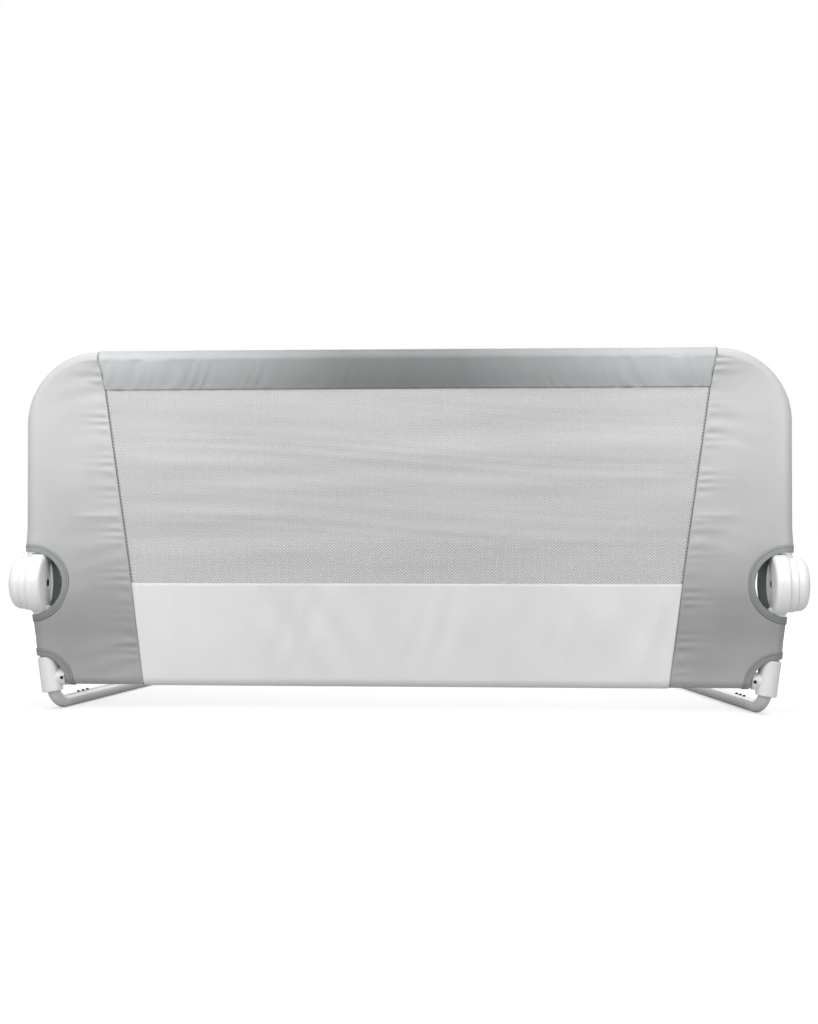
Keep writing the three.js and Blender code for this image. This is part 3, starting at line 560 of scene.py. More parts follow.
def side_rows(cell):
    """The cover's cross lines: height at the seam, middle of the tube as x and z, and outward turn.

    From the hem up to FAN_START the lines are level. Above it they fan out, round the tube's
    bend to the middle of the top tube.
    """
    theta = np.linspace(0.0, math.pi / 2, HEM_STEPS)[:-1]
    low = CROSS_Z - HEM_RADIUS * np.cos(theta)
    level = np.concatenate([low, np.arange(CROSS_Z, FAN_START, cell)])
    blend = smooth_step((level - HUB_Z + LEG_TURN_HALF) / (2 * LEG_TURN_HALF))
    level_x = (1 - blend) * leg_x(np.minimum(level, HUB_Z)) + blend * POST_X
    bend_z = TOP_Z - CORNER_BEND
    fan = np.linspace(0, 1, int((bend_z - FAN_START) / cell) + 1)[:-1]
    fan_z = FAN_START + fan * (bend_z - FAN_START)
    fan_seam = FAN_START + fan * (FAN_SEAM_TURN - FAN_START)
    phi = np.linspace(0, math.pi / 2, int(CORNER_BEND * math.pi / 2 / cell) + 1)
    arc_x = POST_X - CORNER_BEND + CORNER_BEND * np.cos(phi)
    arc_z = bend_z + CORNER_BEND * np.sin(phi)
    arc_seam = FAN_SEAM_TURN + (TOP_Z - FAN_SEAM_TURN) * (phi / phi[-1])
    seam_z = np.concatenate([level, fan_seam, arc_seam])
    tube_x = np.concatenate([level_x, np.full(len(fan), POST_X), arc_x])
    tube_z = np.concatenate([level, fan_z, arc_z])
    turn = np.concatenate([-LEG_LEAN * (1 - blend), np.zeros(len(fan)), phi])
    return seam_z, tube_x, tube_z, turn


def ripple(along, wave, phase=0.0):
    """A wave's uneven ripple: a sine whose phase wanders slowly, scaled by a slower sine."""
    turn = 2 * np.pi * along / wave.length
    drift = wave.drift + phase
    wander = WANDER_TURN * np.sin(turn / WANDER_WAVES + drift)
    size = 1 - SWELL_SHARE + SWELL_SHARE * np.sin(turn / SWELL_WAVES + SWELL_DRIFT * drift)
    return wave.height * size * np.sin(turn + wander + drift)


def side_wrinkles(x, z, from_seam, share, phase):
    """Puckers that fade away from the seam, one pressed crease, and a slow unevenness."""
    pucker = ripple(z, SIDE_PUCKER, phase) * np.exp(-from_seam / SIDE_PUCKER.fade)
    pucker *= 1 - np.exp(-from_seam / SIDE_PUCKER.rise)
    drag = ripple(z + DRAG_LEAN * x, SIDE_DRAG, phase) * np.exp(-from_seam / SIDE_DRAG.fade)
    drag *= smooth_step(from_seam / SIDE_DRAG.rise)
    near_seam = np.exp(-((from_seam - CREASE_FROM_SEAM) / CREASE_REACH) ** 4)
    below = CREASE_Z - z
    fade = np.where(below < 0, CREASE_UPPER_FADE, CREASE_LOWER_FADE)
    crease = CREASE_HEIGHT * np.exp(-np.abs(below) / fade) * near_seam
    slow_x = np.sin(2 * np.pi * x / SLOW_WAVE_X + phase)
    slow_z = np.sin(2 * np.pi * z / SLOW_WAVE_Z + SLOW_DRIFT * phase)
    slow = SLOW_HEIGHT * slow_x * slow_z
    window = np.clip(4 * share * (1 - share), 0, 1)
    return (slow + drag) * window + (pucker + crease) * np.minimum(PUCKER_WINDOW * window, 1)


def side_surface(cell, phase):
    """The right side cover: each cross line goes along the front, round the tube and back.

    The flat fronts and backs run straight from seam to tube, moved out by the wrinkles, and the
    wrap is a half circle about the tube, turned outwards with it.
    """
    seam_z, tube_x, tube_z, turn = side_rows(cell)
    share = np.linspace(0, 1, int(SIDE_WIDTH / cell))[None, :]
    seam, depth = seam_x(seam_z)[:, None], seam_half(seam_z)[:, None]
    middle_x, middle_z, radius = tube_x[:, None], tube_z[:, None], sleeve(tube_z)[:, None]
    x = seam + (middle_x - seam) * share
    z = seam_z[:, None] + (middle_z - seam_z[:, None]) * share
    half = depth + (radius - depth) * share
    from_seam = np.hypot(x - seam, z - seam_z[:, None])
    front = np.stack([x, FRAME_Y - half - side_wrinkles(x, z, from_seam, share, phase), z], -1)
    phase += BACK_PHASE
    back = np.stack([x, FRAME_Y + half + side_wrinkles(x, z, from_seam, share, phase), z], -1)
    omega = np.linspace(0, math.pi, WRAP_STEPS)[None, 1:-1]
    wrap = np.stack([
        middle_x + np.cos(turn)[:, None] * radius * np.sin(omega),
        FRAME_Y - radius * np.cos(omega),
        middle_z + np.sin(turn)[:, None] * radius * np.sin(omega)], -1)
    points = np.concatenate([front, wrap, back[:, ::-1]], 1)
    steps = np.linalg.norm(np.diff(points, axis=1, prepend=points[:, :1]), axis=-1)
    rises = np.hypot(np.diff(tube_x, prepend=tube_x[0]), np.diff(tube_z, prepend=tube_z[0]))
    return points, np.stack(np.broadcast_arrays(np.cumsum(steps, 1), np.cumsum(rises)[:, None]), -1)


def without_hole(points, triangles, centre, radius, reach):
    """Cuts a round hole along Y: points near the circle move onto it, and its inside goes."""
    flat = points.reshape(-1, 3)
    offset = flat[:, [0, 2]] - centre
    distance = np.maximum(np.linalg.norm(offset, axis=1), TINY)
    near = np.abs(distance - radius) < reach
    flat[near, 0] = centre[0] + offset[near, 0] / distance[near] * radius
    flat[near, 2] = centre[1] + offset[near, 1] / distance[near] * radius
    inside = (distance < radius) & ~near
    keep = ~inside[triangles].any(1) & ~near[triangles].all(1)
    return triangles[keep]


def used_only(points, triangles, uv):
    """Drops the points that no triangle uses."""
    used = np.unique(triangles)
    order = np.full(len(points.reshape(-1, 3)), -1)
    order[used] = np.arange(len(used))
    return points.reshape(-1, 3)[used], order[triangles], uv.reshape(-1, 2)[used]


# Materials


def material(name, colour, roughness):
    """A node material with one Principled shader."""
    made = bpy.data.materials.new(name)
    made.use_nodes = True
    shader = made.node_tree.nodes["Principled BSDF"]
    shader.inputs["Base Color"].default_value = (*colour, 1)
    shader.inputs["Roughness"].default_value = roughness
    made.diffuse_color = (*colour, 1)
    return made, made.node_tree.nodes, made.node_tree.links, shader


def maths(nodes, links, operation, first, second=None):
    """One Math node fed by sockets or numbers."""
    node = nodes.new("ShaderNodeMath")
    node.operation = operation
    for socket, value in zip(node.inputs, (first, second)):
        if value is None:
            continue
        if isinstance(value, (int, float)):
            socket.default_value = value
        else:
            links.new(value, socket)
    return node.outputs[0]


def noise(nodes, links, coordinates, scale, detail):
    """A noise texture's value."""
    node = nodes.new("ShaderNodeTexNoise")
    node.inputs["Scale"].default_value = scale
    node.inputs["Detail"].default_value = detail
    links.new(coordinates, node.inputs["Vector"])
    return node.outputs["Fac"]


def ramp(nodes, links, value, stops):
    """A colour ramp from (place, colour) stops."""
    node = nodes.new("ShaderNodeValToRGB")
    links.new(value, node.inputs["Fac"])
    elements = node.color_ramp.elements
    for element, (place, colour) in zip(elements, stops[:1] + stops[-1:]):
        element.position, element.color = place, (*colour, 1)
    for place, colour in stops[1:-1]:
        elements.new(place).color = (*colour, 1)
    return node.outputs["Color"]


def scaled(colour, share):
    """A colour made darker or lighter by a share."""
    return tuple(min(1.0, channel * share) for channel in colour)


def clouded(nodes, links, coordinates, colour, noise_size, shares):
    """A colour that clouds from a darker to a lighter share, by a noise of a scale and a detail."""
    clouds = noise(nodes, links, coordinates, *noise_size)
    stops = [(place, scaled(colour, share)) for place, share in zip(CLOUD_STOPS, shares)]
    return ramp(nodes, links, clouds, stops)


def along_cloth(nodes, links):
    """The distances across and along a cloth, from its UV map."""
    uv = nodes.new("ShaderNodeUVMap")
    uv.uv_map = "cloth"
    split = nodes.new("ShaderNodeSeparateXYZ")
    links.new(uv.outputs["UV"], split.inputs[0])
    return split.outputs["X"], split.outputs["Y"]


def bump(nodes, links, height, distance, strength, normal=None):
    """A bump node's normal."""
    node = nodes.new("ShaderNodeBump")
    node.inputs["Distance"].default_value = distance
    node.inputs["Strength"].default_value = strength
    links.new(height, node.inputs["Height"])
    if normal is not None:
        links.new(normal, node.inputs["Normal"])
    return node.outputs["Normal"]


def painted_light_over(nodes, links, coordinates, colour, painted_light):
    """A colour times painted light along each named axis: ramps that paint shade and highlight into
    it.

    The ramps are (place, share) stops, with place as a part of SHADE_REACH along the axis. A
    ramp's colours end at 1, so it holds half of each share, which is doubled after it.
    """
    split = nodes.new("ShaderNodeSeparateXYZ")
    links.new(coordinates, split.inputs[0])
    for axis, stops in painted_light:
        distance = maths(nodes, links, "ABSOLUTE", split.outputs[axis])
        along = maths(nodes, links, "DIVIDE", distance, SHADE_REACH)
        halves = [(place, (share / 2,) * 3) for place, share in stops]
        double = nodes.new("ShaderNodeVectorMath")
        double.operation = "SCALE"
        double.inputs["Scale"].default_value = 2.0
        links.new(ramp(nodes, links, along, halves), double.inputs[0])
        product = nodes.new("ShaderNodeVectorMath")
        product.operation = "MULTIPLY"
        links.new(colour, product.inputs[0])
        links.new(double.outputs[0], product.inputs[1])
        colour = product.outputs[0]
    return colour


def woven_cloth(name, colour, pitch, roughness, painted_light=()):
    """Plain weave: a bump of crossed sines for the yarns, and a cloudy colour with painted shade
    and highlight.
    """
    made, nodes, links, shader = material(name, colour, roughness)
    shader.inputs["Sheen Weight"].default_value = 0.25
    shader.inputs["Sheen Roughness"].default_value = 0.4
    shader.inputs["Specular IOR Level"].default_value = 0.4
    across, along = along_cloth(nodes, links)
    turns = 2 * math.pi / pitch
    warp = maths(nodes, links, "SINE", maths(nodes, links, "MULTIPLY", across, turns))
    weft = maths(nodes, links, "SINE", maths(nodes, links, "MULTIPLY", along, turns))
    weave = maths(nodes, links, "MULTIPLY", warp, weft)
    place = nodes.new("ShaderNodeTexCoord").outputs["Object"]
    clouds = clouded(nodes, links, place, colour, noise_size=(14.0, 4.0), shares=(0.965, 1.03))
    # Painted light: the cloudy colour is multiplied by ramps of painted shade and highlight
    links.new(painted_light_over(nodes, links, place, clouds, painted_light), shader.inputs["Base Color"])
    softness = noise(nodes, links, place, scale=60.0, detail=3.0)
    soft = bump(nodes, links, softness, distance=0.0006, strength=0.25)
    woven = bump(nodes, links, weave, distance=0.00006, strength=0.5, normal=soft)
    links.new(woven, shader.inputs["Normal"])
    return made


def net_cloth(name, colour, pitch):
    """Knitted net of fine yarns on both diagonals, whose holes open and close with a wider mesh.

    With u = x / pitch and v = z / (pitch NET_ROW_SHARE), the distances from the wide mesh's
    diagonals are pingpong(u + v, 1/2) and pingpong(u - v, 1/2), and those from the fine mesh's
    use NET_FINE_COUNT times u + v and u - v. There is yarn where the smaller fine distance plus
    NET_OPENING_SHARE of the smaller wide one is below NET_YARN_LOW, and it fades out by
    NET_YARN_HIGH.
    """
    made, nodes, links, shader = material(name, colour, roughness=0.75)
    shader.inputs["Sheen Weight"].default_value = 0.2
    across, along = along_cloth(nodes, links)
    across = maths(nodes, links, "DIVIDE", across, pitch)
    upward = maths(nodes, links, "DIVIDE", along, pitch * NET_ROW_SHARE)
    wide = [maths(nodes, links, sign, across, upward) for sign in ("ADD", "SUBTRACT")]
    fine = [maths(nodes, links, "MULTIPLY", line, float(NET_FINE_COUNT)) for line in wide]
    wide, fine = (
        [maths(nodes, links, "PINGPONG", line, 0.5) for line in lines] for lines in (wide, fine))
    wide, fine = (maths(nodes, links, "MINIMUM", *lines) for lines in (wide, fine))
    opening = maths(nodes, links, "MULTIPLY", wide, NET_OPENING_SHARE)
    yarn = nodes.new("ShaderNodeMapRange")
    yarn.inputs["From Min"].default_value = NET_YARN_LOW
    yarn.inputs["From Max"].default_value = NET_YARN_HIGH
    yarn.inputs["To Min"].default_value = 1.0
    yarn.inputs["To Max"].default_value = 0.0
    links.new(maths(nodes, links, "ADD", fine, opening), yarn.inputs["Value"])
    links.new(yarn.outputs["Result"], shader.inputs["Alpha"])
    links.new(bump(nodes, links, fine, distance=0.0004, strength=0.6), shader.inputs["Normal"])
    place = nodes.new("ShaderNodeTexCoord").outputs["Object"]
    stretch = nodes.new("ShaderNodeMapping")
    stretch.inputs["Scale"].default_value = (4.0, 1.0, 38.0)
    links.new(place, stretch.inputs["Vector"])
    # Painted shade: level bands of lighter and darker colour stand in for the light on the net's
    # waves, then painted shade darkens it lower down and in the middle
    wave_shading = clouded(
        nodes, links, stretch.outputs["Vector"], colour, noise_size=(1.0, 2.0), shares=(0.88, 1.07))
    links.new(painted_light_over(nodes, links, place, wave_shading, NET_PAINTED_SHADE), shader.inputs["Base Color"])
    return made


def moulded_plastic(name, colour, roughness):
    """Moulded plastic: fine mould texture, slight cloudiness and a thin clear skin."""
    made, nodes, links, shader = material(name, colour, roughness)
    shader.inputs["Coat Weight"].default_value = 0.15
    shader.inputs["Coat Roughness"].default_value = 0.2
    place = nodes.new("ShaderNodeTexCoord").outputs["Object"]
    clouds = clouded(nodes, links, place, colour, noise_size=(40.0, 2.0), shares=(0.985, 1.01))
    links.new(clouds, shader.inputs["Base Color"])
    grain = noise(nodes, links, place, scale=2400.0, detail=2.0)
    links.new(bump(nodes, links, grain, distance=0.00002, strength=0.3), shader.inputs["Normal"])
    return made


def painted_metal(name, colour, roughness, metallic=0.0):
    """Powder paint or dark plating: orange-peel bump and a faintly uneven shade."""
    made, nodes, links, shader = material(name, colour, roughness)
    shader.inputs["Metallic"].default_value = metallic
    place = nodes.new("ShaderNodeTexCoord").outputs["Object"]
    clouds = clouded(nodes, links, place, colour, noise_size=(25.0, 3.0), shares=(0.95, 1.04))
    links.new(clouds, shader.inputs["Base Color"])
    peel = noise(nodes, links, place, scale=900.0, detail=2.0)
    links.new(bump(nodes, links, peel, distance=0.00004, strength=0.35), shader.inputs["Normal"])
    return made


def finish(made, chosen):
    """Gives a piece its material, in a slot of its own."""
    made.data.materials.clear()
    made.data.materials.append(chosen)
    return made


def shared_material(name, maker):
    """The named material, made once."""
    return bpy.data.materials.get(name) or maker(name)


def finishes(context):
    """A function that gives the finish of a name, made when it is first asked for."""
    c = context.scene.rail_colours
    pitch = context.scene.rail_sizes.net_pitch
    makers = {
        # The cloths and the binding tape carry painted shade and highlight in their colour
        "side_cloth": lambda name: woven_cloth(name, c.side_cloth, CLOTH_PITCH, 0.5, SIDE_PAINTED_SHADE),
        "band_cloth": lambda name: woven_cloth(name, c.band_cloth, CLOTH_PITCH, 0.42, BAND_PAINTED_REFLECTION),
        "pale_cloth": lambda name: woven_cloth(name, c.pale_cloth, CLOTH_PITCH, 0.6, PALE_PAINTED_LIGHT),
        "binding_tape": lambda name: woven_cloth(name, c.binding, BINDING_PITCH, 0.5, SIDE_PAINTED_SHADE),
        "strap_webbing": lambda name: woven_cloth(name, c.strap, STRAP_PITCH, roughness=0.8),
        "net_cloth": lambda name: net_cloth(name, c.net, pitch),
        "thread": lambda name: painted_metal(name, c.thread, roughness=0.7),
        "piping": lambda name: painted_metal(name, c.piping, roughness=0.7),
        "white_plastic": lambda name: moulded_plastic(name, c.plastic, roughness=0.28),
        "socket_plastic": lambda name: moulded_plastic(name, c.socket, roughness=0.4),
        "tube_paint": lambda name: painted_metal(name, c.tube, roughness=0.36),
        "dark_plating": lambda name: painted_metal(name, c.steel, roughness=0.35, metallic=0.6),
        "bright_steel": lambda name: painted_metal(name, BRIGHT_STEEL, roughness=0.3, metallic=1.0),
        "gear_plastic": lambda name: moulded_plastic(name, GEAR_GREY, roughness=0.45),
        "foot_rubber": lambda name: painted_metal(name, RUBBER_BLACK, roughness=0.8),
    }
    return lambda label: shared_material(f"rail_{label}", makers[label])


# Operators


def across_fold(made):
    """Bakes the piece's transform into its mesh."""
    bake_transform(made)


class BEDRAIL_OT_side_covers(bpy.types.Operator):
    """Grey cloth covers of the two sides, with openings for the hub and the corner socket"""

    bl_idname = "bedrail.side_covers"
    bl_label = "Side covers"

    def execute(self, context):
        sizes = context.scene.rail_sizes
        reach = sizes.cell * HOLE_SNAP_SHARE
        for side, phase in SIDE_PHASES.items():
            points, uv = side_surface(sizes.cell, phase)
            triangles = triangles_of(grid_faces(*points.shape[:2]))
            triangles = without_hole(points, triangles, HUB_HOLE, sizes.hub_hole, reach)
            triangles = without_hole(points, triangles, CORNER_HOLE, sizes.corner_hole, reach)
            points, triangles, uv = used_only(points, triangles, uv)
            if side == "left":
                points, triangles = points * MIRROR, triangles[:, ::-1]
            cover = welded(piece(f"side_cover_{side}", points, triangles, uv))
            thickened(cover, sizes.cloth)
            finish(cover, finishes(context)("side_cloth"))
            across_fold(cover)
            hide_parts(f"side_panel_upper_{side}", f"side_panel_lower_{side}")
        return {"FINISHED"}


def sleeve_section(low, high, radius, far_half, steps):
    """Section of a sleeve, as z and y: up one side, round the tube at high, and down the other."""
    share = np.linspace(0, 1, steps)
    straight_z = low + (high - low) * share
    straight_y = far_half + (radius - far_half) * share
    angle = np.linspace(0, math.pi, steps)[1:-1]
    direction = math.copysign(1, high - low)
    z = np.concatenate([straight_z, high + direction * radius * np.sin(angle), straight_z[::-1]])
    y = np.concatenate([-straight_y, -radius * np.cos(angle), straight_y[::-1]])
    return z, y


def band_surface(z, y, cell):
    """A section carried from seam to seam; each line's length follows the slanted seams."""
    share = np.linspace(-1, 1, int(2 * SEAM_TOP_X / cell))[None, :]
    x = seam_x(z)[:, None] * share
    points = np.stack(np.broadcast_arrays(x, FRAME_Y + y[:, None], z[:, None]), -1)
    around = np.concatenate([[0], np.cumsum(np.hypot(np.diff(z), np.diff(y)))])
    uv = np.stack(np.broadcast_arrays(x, around[:, None]), -1)
    return points, uv


class BEDRAIL_OT_top_band(bpy.types.Operator):
    """Satin band that goes over the top tube, gathered where it meets the net"""

    bl_idname = "bedrail.top_band"
    bl_label = "Top band"

    def execute(self, context):
        sizes = context.scene.rail_sizes
        z, y = sleeve_section(NET_TOP, TOP_Z, SLEEVE_RADIUS, SEAM_HALF, TOP_BAND_STEPS)
        points, uv = band_surface(z, y, sizes.cell)
        x, height = points[..., 0], points[..., 2] - NET_TOP
        at_ends = np.exp(-((np.abs(x) - GATHER_X) / GATHER_REACH) ** 2)
        ends = GATHER_LEAST + (1 - GATHER_LEAST) * at_ends
        leaning = x + GATHER_LEAN * height * np.sign(x)
        gathers = ripple(leaning, BAND_GATHER) * np.exp(-height / BAND_GATHER.fade)
        gathers *= 1 - np.exp(-height / BAND_GATHER.rise)
        folds = ripple(leaning, BAND_FOLD) * smooth_step(height / BAND_FOLD.rise)
        folds *= np.exp(-height / BAND_FOLD.fade)
        below_tube = points[..., 2] < TOP_Z - TINY
        points[..., 1] += np.sign(y)[:, None] * (gathers + folds) * ends * below_tube
        quads = grid_faces(*points.shape[:2])
        band = piece("top_band", points, quads[:, ::-1], uv)
        thickened(band, sizes.cloth)
        finish(band, finishes(context)("band_cloth"))
        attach(band, "guard")
        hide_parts("top_band_cover")
        return {"FINISHED"}


class BEDRAIL_OT_lower_band(bpy.types.Operator):
    """Pale band that goes down round the cross tube, left bare"""

    bl_idname = "bedrail.lower_band"
    bl_label = "Lower band"

    def execute(self, context):
        sizes = context.scene.rail_sizes
        z, y = sleeve_section(HUB_Z, CROSS_Z, HEM_RADIUS, SEAM_HALF, LOWER_BAND_STEPS)
        points, uv = band_surface(z, y, sizes.cell)
        x, height = points[..., 0], points[..., 2]
        drop = HUB_Z - height
        share = np.clip(drop / (HUB_Z - CROSS_Z), 0, 1)
        slack = ripple(x + LOWER_SLACK_LEAN * height, LOWER_SLACK)
        slack += ripple(x + LOWER_STREAK_LEAN * height, LOWER_STREAK)
        pucker = ripple(x, LOWER_PUCKER) * np.exp(-drop / LOWER_PUCKER.fade)
        pucker *= smooth_step(drop / LOWER_PUCKER.rise)
        points[..., 1] += np.sign(y)[:, None] * (slack * 4 * share * (1 - share) + pucker)
        quads = grid_faces(*points.shape[:2])
        band = piece("lower_band", points, quads, uv)
        thickened(band, sizes.cloth)
        finish(band, finishes(context)("pale_cloth"))
        across_fold(band)
        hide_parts("lower_band_cover")
        return {"FINISHED"}


class BEDRAIL_OT_net(bpy.types.Operator):
    """See-through net between the bands"""

    bl_idname = "bedrail.net"
    bl_label = "Net"

    def execute(self, context):
        sizes = context.scene.rail_sizes
        cell = sizes.cell * NET_CELLS
        low, high = HUB_Z - NET_TUCK, NET_TOP + NET_TUCK
        z = np.linspace(low, high, int((high - low) / cell))
        points, _ = band_surface(z, np.zeros(len(z)), cell)
        x, height = points[..., 0], points[..., 2]
        share = (height - HUB_Z) / (NET_TOP - HUB_Z)
        window = np.clip(NET_WINDOW * share * (1 - share), 0, 1)
        window *= 1 - (np.abs(x) / seam_x(height)) ** NET_EDGE_POWER
        bent = height + NET_LEAN * x + NET_SAG * np.sin(x * NET_SAG_TURNS)
        waves = ripple(bent, NET_RIPPLE) + ripple(bent + NET_SWELL_LEAN * x, NET_SWELL)
        points[..., 1] += waves * window
        quads = grid_faces(*points.shape[:2])
        net = piece("net_window", points, quads, np.stack([x, height], -1))
        finish(net, finishes(context)("net_cloth"))
        across_fold(net)
        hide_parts("net_panel")
        return {"FINISHED"}


def seam_path(step):
    """The slanted seam as a closed line: up the front, over the top tube and down the back."""
    theta = np.linspace(0, math.pi / 2, SEAM_HEM_STEPS)[:-1]
    z = np.concatenate([CROSS_Z - HEM_RADIUS * np.cos(theta), np.arange(CROSS_Z, TOP_Z, step)])
    front = np.stack([seam_x(z), FRAME_Y - seam_half(z), z], -1)
    angle = np.linspace(0, math.pi, SEAM_TOP_STEPS)
    over_z = TOP_Z + SLEEVE_RADIUS * np.sin(angle)
    over = np.stack([seam_x(over_z), FRAME_Y - SLEEVE_RADIUS * np.cos(angle), over_z], -1)
    back = front[::-1] * np.array([1, -1, 1]) + np.array([0, 2 * FRAME_Y, 0])
    return np.concatenate([front, over, back[:-1]])


def upright_along(path, side_axis):
    """Directions square to a closed path, towards side_axis and across it."""
    tangent = unit(np.roll(path, -1, 0) - np.roll(path, 1, 0))
    side = unit(side_axis - tangent * (tangent @ side_axis)[:, None])
    return side, np.cross(side, tangent)


def stitches(places, along, normal, length, thickness):
    """Lozenges, one at each place, lying along the seam and standing a little proud.

    Each is a ring of STITCH_SIDES points at both ends of its middle part, with a point beyond
    each ring.
    """
    angle = np.linspace(0, 2 * np.pi, STITCH_SIDES, endpoint=False)
    ring = np.stack([np.zeros(STITCH_SIDES), np.cos(angle), np.sin(angle)], -1)
    pole, neck = np.array([[-0.5, 0, 0]]), np.array([STITCH_NECK_SHARE, 0, 0])
    shape = np.concatenate([pole, ring - neck, ring + neck, -pole])
    shape = shape * np.array([length, thickness, thickness])
    along, normal = unit(along), unit(normal)
    basis = np.stack([along, np.cross(normal, along), normal], 1)
    points = places[:, None] + np.einsum("vk,nkc->nvc", shape, basis)
    low = 1 + np.arange(STITCH_SIDES)
    low_next = 1 + low % STITCH_SIDES
    high, high_next = low + STITCH_SIDES, low_next + STITCH_SIDES
    low_fan = np.stack([np.zeros(STITCH_SIDES, int), low_next, low], -1)
    high_fan = np.stack([np.full(STITCH_SIDES, len(shape) - 1), high, high_next], -1)
    middle = triangles_of(np.stack([low, low_next, high_next, high], -1))
    triangles = np.concatenate([low_fan, high_fan, middle])
    shift = (np.arange(len(places)) * len(shape))[:, None, None]
    return points.reshape(-1, 3), (triangles[None] + shift).reshape(-1, 3)


def at_distances(values, run, distances):
    """Values given at the points of a line, worked out at other distances along it."""
    return np.stack([np.interp(distances, run, values[:, k]) for k in range(3)], -1)


def stitched_line(line, upright, pitch, length, thickness):
    """Evenly spaced stitches along a closed line, standing along its upright directions."""
    loop, uprights = (np.concatenate([rows, rows[:1]]) for rows in (line, upright))
    run = np.concatenate([[0], np.cumsum(np.linalg.norm(np.diff(loop, axis=0), axis=1))])
    count = int(run[-1] / pitch)
    at = (np.arange(count) + 0.5) * run[-1] / count
    places = at_distances(loop, run, at)
    ahead = at_distances(loop, run, at + pitch / 10) - places
    return stitches(places, ahead, at_distances(uprights, run, at), length, thickness)


class BEDRAIL_OT_piping(bpy.types.Operator):
    """Thin dark piping in both slanted seams, with a row of stitches beside it"""

    bl_idname = "bedrail.piping"
    bl_label = "Seam piping"

    def execute(self, context):
        sizes = context.scene.rail_sizes
        lean = math.atan2(SEAM_TOP_X - SEAM_BOTTOM_X, RAIL_TOP - HEM_BOTTOM)
        aside = np.array([math.cos(lean), 0, -math.sin(lean)])
        path = seam_path(PIPING_STEP)
        side, normal = upright_along(path, aside)
        rings = rings_round(path, sizes.piping, normal[:, None], side[:, None], PIPING_SIDES)
        quads = grid_faces(len(path), PIPING_SIDES, close_rows=True, close_columns=True)
        line = seam_path(sizes.cell) - aside * (sizes.piping + SEAM_STITCH_SETBACK)
        row = stitched_line(line, upright_along(line, aside)[1], sizes.stitch * SEAM_PITCH_SHARE,
                            sizes.stitch * SEAM_STITCH_SHARE, SEAM_STITCH)
        pieces = (("seam_piping", (rings, quads), "piping"), ("seam_stitches", row, "thread"))
        for name, (points, faces), label in pieces:
            for made in both_hands(name, points, faces):
                finish(made, finishes(context)(label))
                across_fold(made)
        return {"FINISHED"}


def binding_loop(centre, low_radius, high_radius, edges):
    """Points on the cover round an opening, as a (loop, width) grid: along the front and back.

    Each column is an arc of its own radius between the edges of the cover, with more points
    near its ends.
    """
    width = np.linspace(low_radius, high_radius, BINDING_COLUMNS + 1)
    start, end = edges(width)
    share = (1 - np.cos(np.linspace(0, math.pi, BINDING_STEPS))) / 2
    angle = start[None, :] + (end - start)[None, :] * share[:, None]
    x = centre[0] + width[None, :] * np.cos(angle)
    z = centre[1] + width[None, :] * np.sin(angle)
    half = half_depth(x, z)
    half[[0, -1]] = 0
    front = np.stack([x, FRAME_Y - half, z], -1)
    back = np.stack([x, FRAME_Y + half, z], -1)
    return np.concatenate([front, back[-2:0:-1]])


def hub_edges(width):
    """Angles at which circles round the hub opening reach the post's and the leg's outer side.

    The leg leans, so its side is looked up again at each new angle until it settles.
    """
    post_side = POST_X + SLEEVE_RADIUS
    start = np.arccos(np.clip((post_side - HUB_HOLE[0]) / width, -1, 1))
    end = np.full(len(width), 1.5 * math.pi)
    for _ in range(EDGE_ROUNDS):
        side = leg_x(HUB_HOLE[1] + width * np.sin(end)) + SLEEVE_RADIUS
        end = 2 * math.pi - np.arccos(np.clip((side - HUB_HOLE[0]) / width, -1, 1))
    return start, end


def corner_edges(width):
    """Angles at which circles round the corner opening reach the leg's outer side and the hem."""
    start = np.full(len(width), 0.5 * math.pi)
    for _ in range(EDGE_ROUNDS):
        height = CORNER_HOLE[1] + width * np.sin(start)
        side = leg_x(height) + sleeve(height)
        start = np.arccos(np.clip((side - CORNER_HOLE[0]) / width, -1, 1))
    end = math.pi + np.arcsin(np.clip((CORNER_HOLE[1] - HEM_BOTTOM) / width, -1, 1))
    return start, end


def binding_tape(grid):
    """A folded tape on the cover: a hump pinched at the stitch lines, and closed underneath.

    Its height is BINDING_THICKNESS times a root of a sine across it, a bell near its outer
    edge, and a narrow bell taken away at each stitch line.
    """
    along = np.roll(grid, -1, 0) - np.roll(grid, 1, 0)
    normal = unit(np.cross(np.gradient(grid, axis=1), along))
    share = np.linspace(0, 1, grid.shape[1])
    lift = TAPE_BASE + TAPE_HUMP * np.sqrt(np.sin(math.pi * share))
    for line, height, reach in TAPE_BELLS:
        lift = lift + height * np.exp(-((share - line) / reach) ** 2)
    lift[-1] = TAPE_EDGE
    lift = lift * BINDING_THICKNESS
    top = grid + normal * lift[None, :, None]
    under = grid - normal * BINDING_THICKNESS * TAPE_SINK
    return np.concatenate([top, under[:, ::-1]], 1), normal, lift


